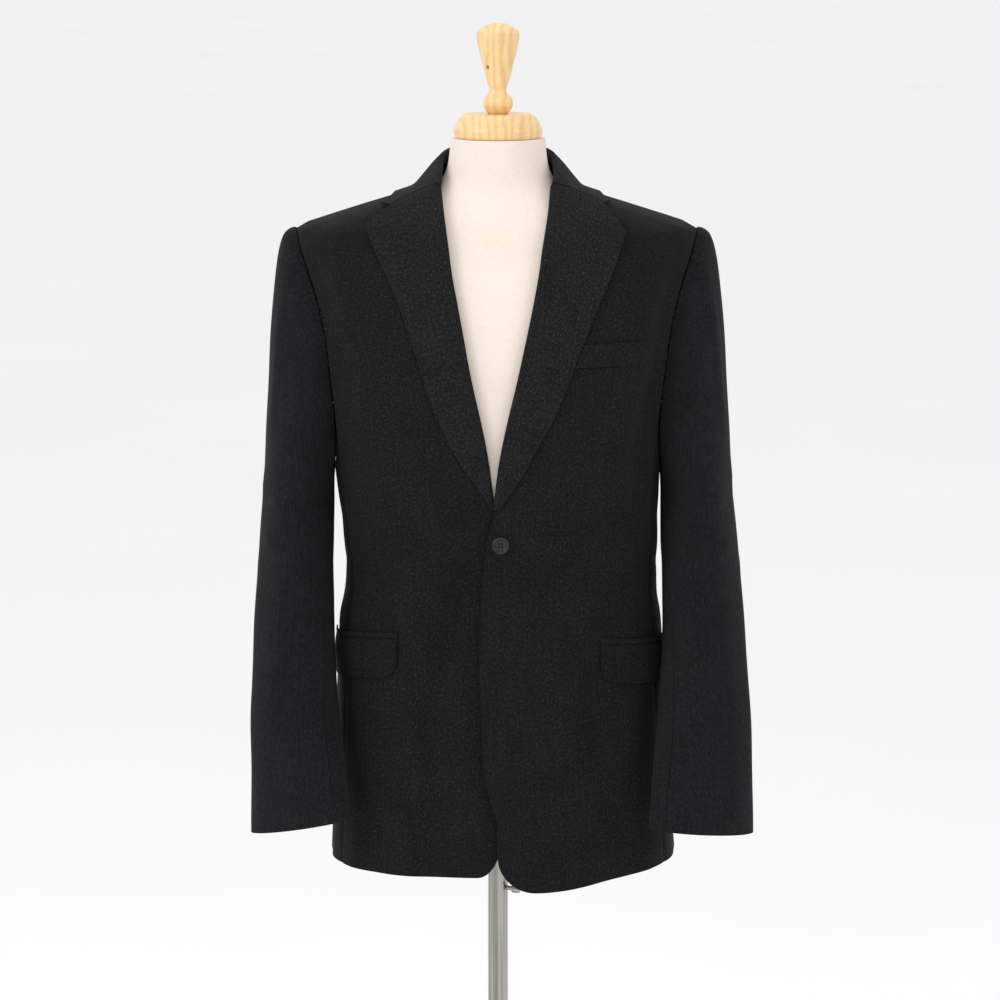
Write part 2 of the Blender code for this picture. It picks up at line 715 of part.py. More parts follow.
def add_button(name, place, parts, cutters, paint):
    """A four-hole button with a raised rim, turned about Z and then laid with its face forward."""
    r, t = BUTTON_RADIUS, BUTTON_THICKNESS
    profile = [
        (0.0, t * 0.62), (r * 0.62, t * 0.62), (r * 0.74, t * 0.92), (r * 0.86, t), (r * 0.97, t * 0.8),
        (r, t * 0.5), (r * 0.93, t * 0.15), (r * 0.8, 0.0), (0.0, 0.0),
    ]
    button = add_turned(name, profile, parts, paint, steps=28)
    frame = Matrix.Translation(place) @ Matrix.Rotation(math.radians(90), 4, "X")
    button.matrix_world = frame
    for i in range(4):
        angle = math.radians(45 + 90 * i)
        spot = Vector((math.cos(angle), math.sin(angle), 0)) * r * 0.26
        bpy.ops.mesh.primitive_cylinder_add(vertices=8, radius=BUTTON_HOLE, depth=t * 4)
        drill = bpy.context.object
        drill.name = f"{name}_hole_{i + 1}"
        drill.matrix_world = frame @ Matrix.Translation(spot)
        drill.hide_render = True
        drill.display_type = "WIRE"
        for home in list(drill.users_collection):
            home.objects.unlink(drill)
        cutters.objects.link(drill)
        cut = button.modifiers.new(f"Hole {i + 1}", "BOOLEAN")
        cut.operation = "DIFFERENCE"
        cut.solver = "EXACT"
        cut.object = drill


def add_buttons(parts, cutters, paint):
    top = torso_skin(LEFT, angle_of_x(LEFT, 0.003, BUTTON_Z), BUTTON_Z)
    top.y -= LAID + SEAM
    add_button("button_top", top, parts, cutters, paint)
    lower = on_front(RIGHT, -0.002, LOWER_BUTTON_Z, LAID)
    add_button("button_lower", lower, parts, cutters, paint)


# ---- Dress form and stand


def form_inset(degrees, z):
    """How far the form lies inside the coat: close on the shoulders, loose below them."""
    on_shoulder = ease((z - 1.475) / 0.012)
    near_ridge = 1 - ease(abs(degrees - 90) / 60)
    loose = mix(0.007, 0.014, ease((1.2 - z) / 0.2)) if degrees < 90 else 0.007
    return mix(loose, FORM_SEAT, on_shoulder * max(near_ridge, 0.3))


def add_form(parts, paint, around=32):
    """The limbless form: rings inside the coat, then a neck, closed top and bottom."""
    heights = [FORM_BOTTOM_Z, 0.803, FORM_EDGE_Z, 0.86, 0.93, 0.99, 1.04, 1.08, 1.13, 1.18, 1.24, 1.30,
               1.36, 1.41, 1.45, SHOULDER_TIP_Z, 1.48, 1.49, 1.50, 1.51, 1.52]
    rings = []
    for z in heights:
        tuck = 0.016 * max(0.0, (FORM_EDGE_Z - z) / (FORM_EDGE_Z - FORM_BOTTOM_Z)) ** 2
        ring = []
        for i in range(around):
            degrees = 360 * i / around
            side = LEFT if degrees <= 180 else RIGHT
            angle = degrees if degrees <= 180 else 360 - degrees
            ring.append(torso_point(side, angle, z, -form_inset(angle, z) - tuck))
        if z <= FORM_EDGE_Z:
            ring = [Vector((point.x, point.y, z)) for point in ring]
        rings.append(ring)
    neck = [(1.536, 0.068, 0.058), (1.546, 0.058, 0.0555), (1.558, 0.0545, NECK_RADIUS + 0.0005),
            (FORM_TOP_Z, NECK_RADIUS, NECK_RADIUS)]
    for z, across, deep in neck:
        angles = [math.radians(360 * i / around) for i in range(around)]
        rings.append([Vector((across * math.sin(a), -deep * math.cos(a), z)) for a in angles])
    points = [point for ring in rings for point in ring]
    faces = [
        (i * around + j, i * around + (j + 1) % around,
         (i + 1) * around + (j + 1) % around, (i + 1) * around + j)
        for i in range(len(rings) - 1)
        for j in range(around)
    ]
    faces.append(tuple(reversed(range(around))))
    last = (len(rings) - 1) * around
    faces.append(tuple(range(last, last + around)))
    mesh = bpy.data.meshes.new("form_body")
    mesh.from_pydata(points, [], faces)
    mesh.shade_smooth()
    mesh.set_sharp_from_angle(angle=math.radians(50))
    add_object("form_body", mesh, paint, parts)


def add_neck_cap(parts, paint):
    """A turned wooden disc on the neck and the handle that stands on it."""
    low = FORM_TOP_Z + SEAM
    top = 1.6040
    cap = [(0, top), (0.0375, top), (0.0395, top - 0.001), (0.0450, top - 0.007), (0.0495, top - 0.014),
           (0.0505, top - 0.019), (0.0498, top - 0.024), (0.0485, low), (0, low)]
    add_turned("form_neck_cap", cap, parts, paint, steps=40)
    foot = top + SEAM
    handle = [
        (0, 1.706), (0.0090, 1.7050), (0.0165, 1.7020), (0.0218, 1.6985), (0.0242, 1.6945),
        (0.0242, 1.6900), (0.0226, 1.6810), (0.0200, 1.6690), (0.0152, 1.6500), (0.0115, 1.6370),
        (0.0095, 1.6305), (0.0108, 1.6270), (0.0150, 1.6225), (0.0172, 1.6180), (0.0172, 1.6140),
        (0.0150, 1.6090), (0.0118, foot), (0, foot),
    ]
    add_turned("form_handle", handle, parts, paint, steps=32)


def add_stand(parts, paint):
    flange_low = FORM_BOTTOM_Z - SEAM - FLANGE_THICKNESS
    flange_top = FORM_BOTTOM_Z - SEAM
    flange = [(0, flange_top), (FLANGE_RADIUS, flange_top), (FLANGE_RADIUS, flange_low), (0, flange_low)]
    add_turned("stand_flange", flange, parts, paint)
    pole_top = flange_low - SEAM
    pole_low = BASE_THICKNESS + SEAM
    pole = [(0, pole_top), (POLE_RADIUS, pole_top), (POLE_RADIUS, pole_low), (0, pole_low)]
    add_turned("stand_pole", pole, parts, paint)
    base = [(0, BASE_THICKNESS), (BASE_RADIUS - 0.012, BASE_THICKNESS), (BASE_RADIUS - 0.003, 0.0075),
            (BASE_RADIUS, 0.0040), (BASE_RADIUS, 0.0), (0, 0.0)]
    add_turned("stand_base", base, parts, paint, steps=64)
    knob = [(0, 0.0165), (0.0042, 0.0165), (0.0050, 0.0155), (0.0050, 0.0085), (0.0040, 0.0075),
            (0.0026, 0.0070), (0.0026, 0.0), (0, 0.0)]
    screw = add_turned("stand_clamp_screw", knob, parts, paint, steps=20)
    reach = Matrix.Translation((0, 0, POLE_RADIUS + SEAM))
    screw.matrix_world = (
        Matrix.Translation((0, 0, CLAMP_Z))
        @ Matrix.Rotation(math.radians(-28), 4, "Z")
        @ Matrix.Rotation(math.radians(90), 4, "Y")
        @ reach
    )


def main():
    clear_scene()
    parts = collection("blazer_on_form")
    cutters = collection("cutters")
    paints = {name: material(name) for name in COLOURS}
    cloth = paints["blazer_cloth"]
    add_fronts(parts, cloth)
    add_side_panels(parts, cloth)
    add_backs(parts, cloth)
    add_sleeves(parts, cloth)
    add_lapels(parts, cloth)
    add_collar(parts, cloth)
    add_flap_pockets(parts, cloth)
    add_chest_welt(parts, cloth)
    add_buttons(parts, cutters, paints["horn_button"])
    add_form(parts, paints["form_jersey"])
    add_neck_cap(parts, paints["turned_wood"])
    add_stand(parts, paints["brushed_steel"])


main()
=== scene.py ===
"""Looks of the single breasted blazer on its dress form: cloth shells, seams, folds and materials.

Metres, in the frame of the CAD model. The coat faces -Y and its own left is +X. Every cloth piece
follows the same sections as its CAD node, with more points, the folds of a worn coat and real edges.
"""

import math
from bisect import bisect_right
from collections import namedtuple

import bpy
import numpy as np
from mathutils import Matrix, Vector


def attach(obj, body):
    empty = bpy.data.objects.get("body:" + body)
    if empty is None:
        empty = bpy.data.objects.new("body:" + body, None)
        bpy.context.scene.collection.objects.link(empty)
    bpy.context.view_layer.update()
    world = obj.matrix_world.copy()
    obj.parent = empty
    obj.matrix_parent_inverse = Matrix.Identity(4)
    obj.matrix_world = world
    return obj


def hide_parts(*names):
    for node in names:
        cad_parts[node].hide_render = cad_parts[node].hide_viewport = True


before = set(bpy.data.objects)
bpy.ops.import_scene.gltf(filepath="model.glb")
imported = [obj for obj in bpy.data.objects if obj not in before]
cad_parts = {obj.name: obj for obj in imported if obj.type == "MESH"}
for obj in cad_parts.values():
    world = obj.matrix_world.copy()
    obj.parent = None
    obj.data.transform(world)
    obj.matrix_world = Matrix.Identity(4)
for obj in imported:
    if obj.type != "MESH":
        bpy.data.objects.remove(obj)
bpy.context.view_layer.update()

# Cloth and how its pieces meet
CLOTH = 0.0018  # wall of every cloth piece
SEAM = 0.0003  # gap left between two pieces at a seam
LAID = 0.0007  # gap under a piece that lies on a panel
SQUARENESS = 0.2  # how boxy the coat's horizontal sections are

# Heights of the coat
BUTTON_Z = 1.129
ARMPIT_Z = 1.205
SIDE_SEAM_TOP_Z = 1.246  # where the side seams run into the armhole
SHOULDER_TIP_Z = 1.472
NECK_Z = 1.532  # top edge of the fronts and backs, under the collar
HEM_TABLE_Z = 0.72  # nominal height of the hem row, before the hem's own curve
HEM_ZONE_Z = 0.86  # the rows below this follow the hem

# Heights and radii of the dress form and its stand
FORM_BOTTOM_Z = 0.80
FORM_EDGE_Z = 0.812  # its lower edge is rounded below this
FORM_TOP_Z = 1.5765
FORM_SEAT = CLOTH + 0.0010  # how far inside the coat's outer surface its shoulders carry it
NECK_RADIUS = 0.0535
POLE_RADIUS = 0.0115
BASE_RADIUS = 0.175
BASE_THICKNESS = 0.010
FLANGE_RADIUS = 0.045
FLANGE_THICKNESS = 0.005
CLAMP_Z = 0.701

# The coat's outer surface: half-widths to its own left and right, depths to its front and back
Section = namedtuple("Section", "z left right front back")
TORSO = [
    Section(0.700, 0.2110, 0.1980, 0.1280, 0.1280),
    Section(0.750, 0.2075, 0.1950, 0.1275, 0.1290),
    Section(0.850, 0.2000, 0.1910, 0.1265, 0.1300),
    Section(0.950, 0.1930, 0.1870, 0.1240, 0.1260),
    Section(1.020, 0.1885, 0.1840, 0.1210, 0.1150),
    Section(1.075, 0.1830, 0.1755, 0.1195, 0.1030),
    Section(1.130, 0.1835, 0.1790, 0.1220, 0.1040),
    Section(1.200, 0.1860, 0.1865, 0.1280, 0.1130),
    Section(1.246, 0.1900, 0.1915, 0.1310, 0.1170),
    Section(1.310, 0.2005, 0.2015, 0.1315, 0.1205),
    Section(1.370, 0.2090, 0.2105, 0.1245, 0.1205),
    Section(1.424, 0.2200, 0.2225, 0.1110, 0.1150),
    Section(1.455, 0.2265, 0.2285, 0.0990, 0.1080),
    Section(1.472, 0.2275, 0.2295, 0.0905, 0.1030),
    Section(1.480, 0.2160, 0.2180, 0.0855, 0.1000),
    Section(1.490, 0.1860, 0.1880, 0.0790, 0.0950),
    Section(1.500, 0.1548, 0.1568, 0.0735, 0.0900),
    Section(1.510, 0.1225, 0.1235, 0.0675, 0.0840),
    Section(1.520, 0.0950, 0.0960, 0.0620, 0.0770),
    Section(1.532, 0.0800, 0.0810, 0.0560, 0.0680),
]

# Front edges as X at a height. "over" is the left front, which laps over the "under" right front
EdgePoint = namedtuple("EdgePoint", "z over under")
FRONT_EDGE = [
    EdgePoint(0.720, -0.0010, 0.0060),
    EdgePoint(0.771, -0.0010, 0.0060),
    EdgePoint(0.814, -0.0080, 0.0080),
    EdgePoint(0.872, -0.0160, 0.0130),
    EdgePoint(0.945, -0.0200, 0.0180),
    EdgePoint(1.002, -0.0210, 0.0180),
    EdgePoint(1.066, -0.0190, 0.0180),
    EdgePoint(1.130, -0.0130, 0.0130),
    EdgePoint(1.167, -0.0040, -0.0040),
    EdgePoint(1.190, -0.0010, -0.0080),
    EdgePoint(1.240, 0.0080, -0.0165),
    EdgePoint(1.320, 0.0265, -0.0340),
    EdgePoint(1.390, 0.0415, -0.0470),
    EdgePoint(1.450, 0.0530, -0.0585),
    EdgePoint(1.500, 0.0615, -0.0660),
    EdgePoint(1.532, 0.0645, -0.0695),
]
LAPEL_EDGE = [
    EdgePoint(1.170, 0.0010, -0.0085),
    EdgePoint(1.188, 0.0140, -0.0190),
    EdgePoint(1.231, 0.0395, -0.0470),
    EdgePoint(1.288, 0.0685, -0.0740),
    EdgePoint(1.333, 0.0860, -0.0880),
    EdgePoint(1.400, 0.1130, -0.1110),
    EdgePoint(1.443, 0.1310, -0.1310),
    EdgePoint(1.482, 0.1450, -0.1480),
]
# How far the right front sinks behind the left one near the overlap
Recess = namedtuple("Recess", "z depth")
UNDER_RECESS = [
    Recess(0.70, 0.0080), Recess(0.98, 0.0085), Recess(1.07, 0.0068), Recess(1.13, 0.0052),
    Recess(1.17, 0.0050), Recess(1.23, 0.0),
]
RECESS_START_X = -0.075
RECESS_FULL_X = -0.027

# What differs between the two sides of the coat
Side = namedtuple(
    "Side",
    "name sign lap hem_low corner_x corner_width corner_height side_hem roll_x roll_z"
    " notch_x notch_z collar_tip_x collar_tip_z lapel_tip_x lapel_tip_z flap_top_z",
)
LEFT = Side(
    "left", 1, "over", 0.727, -0.001, 0.045, 0.044, 0.749, 0.0635, 1.525,
    0.117, 1.503, 0.1265, 1.5050, 0.143, 1.475, 1.014,
)
RIGHT = Side(
    "right", -1, "under", 0.743, -0.006, 0.030, 0.055, 0.748, 0.0675, 1.524,
    0.119, 1.501, 0.132, 1.5030, 0.148, 1.482, 1.021,
)
BACK_HEM = 0.745

# Seams as angles round the body: 0 is centre front, 90 the side, 180 centre back
Seam = namedtuple("Seam", "z front_side side_back")
SIDE_SEAMS = [
    Seam(0.70, 62, 119), Seam(0.98, 64, 119), Seam(1.12, 67, 115), Seam(SIDE_SEAM_TOP_Z, 70, 110),
]
ARMHOLE_REACH = 24.5  # degrees that the armhole cuts into the front and the back
ARMHOLE_FULLNESS = 2.5  # exponent of its oval

# Sleeve sections from the upper arm down: centre, half-sizes across and fore-and-aft, turn of the
# section about the vertical in degrees, and how much lower its outer end hangs
Cuff = namedtuple("Cuff", "z out forward across fore turn drop")
SLEEVES = {
    "left": [
        Cuff(1.170, 0.2293, 0.010, 0.0400, 0.0740, 0, 0),
        Cuff(1.100, 0.2321, 0.030, 0.0438, 0.0710, 2, 0.001),
        Cuff(1.030, 0.2345, 0.054, 0.0458, 0.0665, 6, 0.002),
        Cuff(0.950, 0.2353, 0.081, 0.0503, 0.0580, 13, 0.005),
        Cuff(0.870, 0.2333, 0.102, 0.0583, 0.0440, 21, 0.007),
        Cuff(0.7995, 0.2313, 0.118, 0.0653, 0.0300, 25, 0.0080),
    ],
    "right": [
        Cuff(1.170, 0.2298, 0.010, 0.0398, 0.0740, 0, 0),
        Cuff(1.100, 0.2318, 0.029, 0.0423, 0.0710, 2, 0.001),
        Cuff(1.030, 0.2328, 0.050, 0.0448, 0.0665, 6, 0.003),
        Cuff(0.950, 0.2326, 0.074, 0.0476, 0.0590, 12, 0.006),
        Cuff(0.870, 0.2278, 0.095, 0.0548, 0.0450, 20, 0.010),
        Cuff(0.803, 0.2246, 0.111, 0.0623, 0.0300, 25, 0.0130),
    ],
}
FOREARM_SEAM = 150  # the sleeve's front seam, in degrees round it from the outside
HIND_SEAM = -112  # and its back seam

# Collar, from centre back (reach 0) round to the notch (reach 1)
Neck = namedtuple("Neck", "reach fold_x fold_y fold_z edge_angle edge_z")
COLLAR = [
    Neck(0.00, 0.0000, 0.0660, 1.5640, 180, 1.5130),
    Neck(0.20, 0.0300, 0.0600, 1.5635, 156, 1.5125),
    Neck(0.40, 0.0560, 0.0380, 1.5600, 125, 1.5115),
    Neck(0.60, 0.0662, 0.0030, 1.5525, 91, 1.5120),
    Neck(0.80, 0.0668, -0.0320, 1.5400, 70, 1.5095),
]
STAND_REACH = 0.62  # how far round the neck the stand goes
COLLAR_JOIN = 0.80  # from here to reach 1 the collar runs into the gorge seam
COLLAR_SAG = 0.0095  # how much the fall drops below a straight line from fold to edge
SAG_PEAK = 27 / 4  # brings the greatest value of u * u * (1 - u) to 1

LAPEL_LIFT = 0.0030  # how far the lapels stand off the shoulder near their tips

# Trims
FLAP_HEIGHT = 0.046
FLAP_FROM, FLAP_TO = 32.5, 94.0  # degrees round the body
FLAP_FALL = 0.015  # how much lower its back end is than its front end
FLAP_CORNER = 0.016
JET_HEIGHT = 0.005
WELT = {"bottom": 1.3295, "top": 1.3550, "outer_x": 0.165, "rise": 0.002}
BUTTON_RADIUS = 0.0100
BUTTON_THICKNESS = 0.0032
BUTTON_HOLE = 0.0009  # radius of each thread hole
LOWER_BUTTON_Z = 0.983

# Folds of the body, from one end to the other: degrees round it and height, then the width of the
# trough (depth below 0) or ridge (above 0). "both" folds are mirrored and a little uneven.
Fold = namedtuple("Fold", "side degrees_a z_a degrees_b z_b width depth")
FOLDS = [
    Fold("right", 10, 1.100, 16, 1.010, 0.015, -0.0034),
    Fold("right", 16, 1.015, 19, 0.905, 0.019, -0.0076),
    Fold("right", 19, 0.895, 17, 0.745, 0.021, -0.0070),
    Fold("right", 29, 1.060, 31, 0.800, 0.026, 0.0032),
    Fold("right", 9, 1.122, 42, 1.178, 0.010, -0.0020),
    Fold("right", 12, 1.096, 50, 1.072, 0.011, -0.0018),
    Fold("right", 20, 1.150, 44, 1.215, 0.014, 0.0016),
    Fold("left", 6, 1.121, 36, 1.168, 0.009, -0.0018),
    Fold("left", 9, 1.100, 40, 1.062, 0.011, -0.0014),
    Fold("left", 14, 1.040, 24, 0.860, 0.022, 0.0026),
    Fold("left", 33, 0.960, 30, 0.760, 0.022, -0.0034),
    Fold("left", 40, 1.330, 36, 1.190, 0.024, 0.0016),
    Fold("both", 57, 1.410, 51, 1.230, 0.020, -0.0040),
    Fold("both", 45, 0.900, 49, 0.760, 0.026, 0.0026),
    Fold("both", 58, 1.104, 104, 1.086, 0.010, -0.0012),
    Fold("both", 66, 1.064, 98, 1.046, 0.012, -0.0009),
    Fold("both", 74, 1.160, 100, 1.128, 0.014, -0.0010),
    Fold("both", 84, 0.960, 86, 0.770, 0.024, -0.0028),
    Fold("both", 104, 0.930, 108, 0.765, 0.026, 0.0030),
    Fold("both", 180, 1.478, 150, 1.468, 0.008, -0.0016),
    Fold("both", 152, 1.410, 116, 1.262, 0.016, -0.0034),
    Fold("both", 158, 1.330, 126, 1.190, 0.020, 0.0022),
    Fold("both", 178, 1.096, 138, 1.074, 0.009, -0.0026),
    Fold("left", 170, 1.052, 132, 1.040, 0.010, -0.0022),
    Fold("right", 174, 1.128, 140, 1.122, 0.010, -0.0020),
    Fold("both", 160, 0.985, 157, 0.755, 0.024, 0.0030),
    Fold("both", 138, 0.960, 135, 0.760, 0.022, -0.0026),
]
METRES_PER_DEGREE = 0.0031
UNEVENNESS = 0.0006  # of the cloth between its folds
DRAPE_TOP_Z = 1.50  # no folds above this

# Folds of the sleeves: degrees round the sleeve (0 outside, 90 in front) and height
SLEEVE_FOLDS = [
    Fold("both", 42, 1.440, 38, 1.270, 0.008, -0.0022),
    Fold("both", 64, 1.168, 150, 1.140, 0.007, -0.0034),
    Fold("right", 52, 1.124, 140, 1.100, 0.008, -0.0030),
    Fold("left", 60, 1.116, 146, 1.088, 0.008, -0.0028),
    Fold("both", 84, 1.072, 158, 1.058, 0.009, -0.0024),
    Fold("left", 20, 1.200, 70, 1.235, 0.012, -0.0016),
    Fold("right", 24, 1.190, 74, 1.222, 0.012, -0.0018),
    Fold("both", -70, 1.120, -14, 1.098, 0.010, -0.0020),
    Fold("both", -84, 1.300, -96, 1.170, 0.014, -0.0026),
    Fold("both", 96, 1.010, 80, 0.850, 0.016, 0.0018),
    Fold("both", 30, 1.060, 40, 0.860, 0.018, -0.0016),
    Fold("both", 190, 1.250, 176, 1.120, 0.012, -0.0024),
    Fold("right", -30, 0.960, -20, 0.840, 0.014, -0.0014),
]
SLEEVE_METRES_PER_DEGREE = 0.00105

# The cut of each cloth piece, laid flat: width, length and area, in metres and square metres
Cut = namedtuple("Cut", "width length area")


# ---- Curves through the tables


def smooth_curve(places, values):
    """A smooth function through the points that never overshoots them."""
    steps = [b - a for a, b in zip(places, places[1:])]
    rises = [(b - a) / step for a, b, step in zip(values, values[1:], steps)]
    inner = [0.0 if p * q <= 0 else 2 * p * q / (p + q) for p, q in zip(rises, rises[1:])]
    slopes = [rises[0], *inner, rises[-1]]

    def at(place):
        place = min(max(place, places[0]), places[-1])
        i = min(bisect_right(places, place) - 1, len(steps) - 1)
        t = (place - places[i]) / steps[i]
        start = values[i] * (1 + 2 * t) * (1 - t) ** 2 + values[i + 1] * t * t * (3 - 2 * t)
        bend = slopes[i] * t * (1 - t) ** 2 - slopes[i + 1] * t * t * (1 - t)
        return start + bend * steps[i]

    return at


def table_curves(rows):
    """One smooth function of the first column for each other column."""
    ordered = sorted(rows, key=lambda row: row[0])
    places = [row[0] for row in ordered]
    names = rows[0]._fields[1:]
    return {name: smooth_curve(places, [getattr(row, name) for row in ordered]) for name in names}


def ease(value):
    """0 below 0, 1 above 1, and smooth between."""
    value = min(max(value, 0.0), 1.0)
    return value * value * (3 - 2 * value)


def mix(a, b, share):
    return a + (b - a) * share


torso = table_curves(TORSO)
front_edge = table_curves(FRONT_EDGE)
lapel_edge = table_curves(LAPEL_EDGE)
side_seams = table_curves(SIDE_SEAMS)
under_recess = table_curves(UNDER_RECESS)["depth"]
sleeves = {name: table_curves(rows) for name, rows in SLEEVES.items()}
collar_line = table_curves(COLLAR)


# ---- The coat's outer surface


def section_x(angle):
    return math.sin(angle) * (1 + SQUARENESS * math.cos(angle) ** 2)


def section_y(angle):
    return math.cos(angle) * (1 + SQUARENESS * math.sin(angle) ** 2)


def torso_skin(side, degrees, z):
    """The outer surface at an angle round the body, on one side of the coat."""
    angle = math.radians(degrees)
    depth = torso["front"](z) if abs(degrees) < 90 else torso["back"](z)
    x = side.sign * torso[side.name](z) * section_x(angle)
    return Vector((x, -depth * section_y(angle), z))


def fold_depth(folds, name, degrees, z, scale):
    """How far the folds move the surface out at this place."""
    total = 0.0
    for fold in folds:
        if fold.side not in ("both", name):
            continue
        uneven = 1.0 if fold.side != "both" or name == "left" else 0.78
        along_a, along_b = fold.z_b - fold.z_a, (fold.degrees_b - fold.degrees_a) * scale
        across = (degrees - fold.degrees_a) * scale
        length = along_a * along_a + along_b * along_b
        share = ((z - fold.z_a) * along_a + across * along_b) / length
        off = share - min(max(share, 0.0), 1.0)
        end = math.sqrt(length) * off / (2.2 * fold.width)
        side_off = ((z - fold.z_a) * along_b - across * along_a) / math.sqrt(length) / fold.width
        total += fold.depth * uneven * math.exp(-side_off * side_off - end * end)
    return total


def own_drape(side, degrees, z):
    """The folds of one side of the coat, and a faint unevenness."""
    total = fold_depth(FOLDS, side.name, degrees, z, METRES_PER_DEGREE)
    if degrees > 120:
        total += fold_depth(FOLDS, side.name, 360 - degrees, z, METRES_PER_DEGREE)
    along, across = z * 31 + degrees * 0.11 + side.sign, degrees * 0.19 - z * 13
    return total + UNEVENNESS * math.sin(along) * math.sin(across)


def drape(side, degrees, z):
    """The body's folds: they fade at the shoulders and front edges and agree at the centre back."""
    if z > DRAPE_TOP_Z:
        return 0.0
    total = own_drape(side, degrees, z)
    if degrees > 160:
        other = own_drape(RIGHT if side is LEFT else LEFT, degrees, z)
        total = mix(total, (total + other) / 2, ease((degrees - 160) / 19))
    return total * ease((DRAPE_TOP_Z - z) / 0.02) * ease((abs(degrees) - 2.0) / 7.0)


def torso_point(side, degrees, z, out=0.0):
    """The draped surface moved out along its normal."""
    out += drape(side, degrees, z)
    turn, rise = 0.5, 0.001
    around = torso_skin(side, degrees + turn, z) - torso_skin(side, degrees - turn, z)
    upward = torso_skin(side, degrees, z + rise) - torso_skin(side, degrees, z - rise)
    normal = around.cross(upward).normalized() * side.sign
    return torso_skin(side, degrees, z) + normal * out


def angle_of_x(side, x, z):
    """The angle on the front half at which the surface has this X."""
    wanted = side.sign * x / torso[side.name](z)
    low, high = -90.0, 90.0
    for _ in range(40):
        middle = (low + high) / 2
        low, high = (middle, high) if section_x(math.radians(middle)) < wanted else (low, middle)
    return (low + high) / 2


def hem_height(side, degrees):
    """The hem's height: a rounded corner at the front edge, then a slow rise to the side."""
    if degrees >= 90:
        return mix(side.side_hem, BACK_HEM, ease((degrees - 90) / 90))
    x = side.sign * torso_skin(side, degrees, HEM_TABLE_Z).x
    level = mix(side.hem_low, side.side_hem, ease((x - side.corner_width) / 0.16))
    reach = min(max((x - side.corner_x) / side.corner_width, 0.0), 1.0)
    return level + side.corner_height * (1 - math.sqrt(1 - (1 - reach) ** 2))


def hem_warp(side, degrees, z):
    """A nominal row height, bent to the hem in the lowest rows."""
    if z >= HEM_ZONE_Z:
        return z
    share = (z - HEM_TABLE_Z) / (HEM_ZONE_Z - HEM_TABLE_Z)
    return mix(hem_height(side, degrees), HEM_ZONE_Z, share)


def lap_offset(side, x, z):
    """How far the right front sinks behind the left one, as a negative distance out."""
    if side.lap == "over":
        return 0.0
    return -under_recess(z) * ease((x - RECESS_START_X) / (RECESS_FULL_X - RECESS_START_X))


def armhole_angle(z):
    """Degrees that the armhole reaches from the side at this height."""
    middle = (ARMPIT_Z + SHOULDER_TIP_Z) / 2
    share = min(abs(z - middle) / (SHOULDER_TIP_Z - middle), 1.0)
    return ARMHOLE_REACH * (1 - share**ARMHOLE_FULLNESS) ** (1 / ARMHOLE_FULLNESS)


def armhole_bottom(degrees):
    """The height of the armhole's lower edge at this angle round the body."""
    middle = (ARMPIT_Z + SHOULDER_TIP_Z) / 2
    share = min(abs(degrees - 90) / ARMHOLE_REACH, 1.0)
    fall = (1 - share**ARMHOLE_FULLNESS) ** (1 / ARMHOLE_FULLNESS)
    return middle - (middle - ARMPIT_Z) * fall


def seam_degrees(side, z):
    """Half a seam gap as an angle round the body."""
    return math.degrees(SEAM / 2 / torso[side.name](z))


# ---- Places on the coat


def oval_power(value):
    return math.copysign(abs(value) ** (2 / ARMHOLE_FULLNESS), value)


def armhole_point(side, around):
    """A point on the armhole seam, just outside the body panels; around is 0 at the shoulder."""
    angle = math.radians(around)
    middle = (ARMPIT_Z + SHOULDER_TIP_Z) / 2
    z = middle + (SHOULDER_TIP_Z - middle) * oval_power(math.cos(angle))
    degrees = 90 - ARMHOLE_REACH * oval_power(math.sin(angle))
    low = ((1 - math.cos(angle)) / 2) ** 2
    return torso_point(side, degrees, z, LAID + (CLOTH + SEAM) * low)


def sleeve_ring_point(side, around, z):
    """A point of the inner face of the sleeve below the upper arm."""
    shape = {name: curve(z) for name, curve in sleeves[side.name].items()}
    angle = math.radians(around)
    turn = math.radians(shape["turn"])
    across = (shape["across"] - CLOTH) * math.cos(angle)
    fore = (shape["fore"] - CLOTH) * math.sin(angle)
    out = shape["out"] + across * math.cos(turn) + fore * math.sin(turn)
    forward = shape["forward"] - across * math.sin(turn) + fore * math.cos(turn)
    return Vector((side.sign * out, -forward, z - shape["drop"] * math.cos(angle)))


def sleeve_cap_point(side, around, share):
    """A Bezier from the armhole, out over the sleeve head and down to the upper arm."""
    high = (1 + math.cos(math.radians(around))) / 2
    start = armhole_point(side, around)
    end = sleeve_ring_point(side, around, SLEEVES[side.name][0].z)
    leave = Vector((side.sign * mix(0.002, 0.0285, high**1.5), 0, mix(-0.010, 0.020, high**2)))
    leave.y = -0.012 * math.sin(math.radians(around)) * mix(1.0, 0.4, high)
    arrive = Vector((-side.sign * 0.009 * high, 0, mix(0.010, 0.130, high**1.2)))
    a, b, c, d = start, start + leave, end + arrive, end
    t, r = share, 1 - share
    return a * r**3 + b * (3 * t * r * r) + c * (3 * t * t * r) + d * t**3


def on_front(side, x, z, out):
    """A point laid on a front, moved out from its surface."""
    degrees = angle_of_x(side, x, z)
    return torso_point(side, degrees, z, out + lap_offset(side, x, z))


def bent(share, knee):
    """0 at both ends and 1 at the knee, straight between."""
    return share / knee if share < knee else (1 - share) / (1 - knee)


def inside_torso(side, point, gap):
    """Whether a point is less than a gap outside the panels, measured square to them."""
    z = point.z
    if z >= NECK_Z:
        return False
    depth = torso["front"](z) if point.y < 0 else torso["back"](z)
    wanted = math.atan2(abs(point.x) / torso[side.name](z), -point.y / depth)
    low, high = 0.0, 180.0
    for _ in range(24):
        middle = (low + high) / 2
        angle = math.radians(middle)
        here = math.atan2(section_x(angle), section_y(angle))
        low, high = (middle, high) if here < wanted else (low, middle)
    skin = torso_skin(side, low, z)
    normal = torso_point(side, low, z, 1.0) - skin
    return (point.xy.length - skin.xy.length) * normal.xy.length < gap


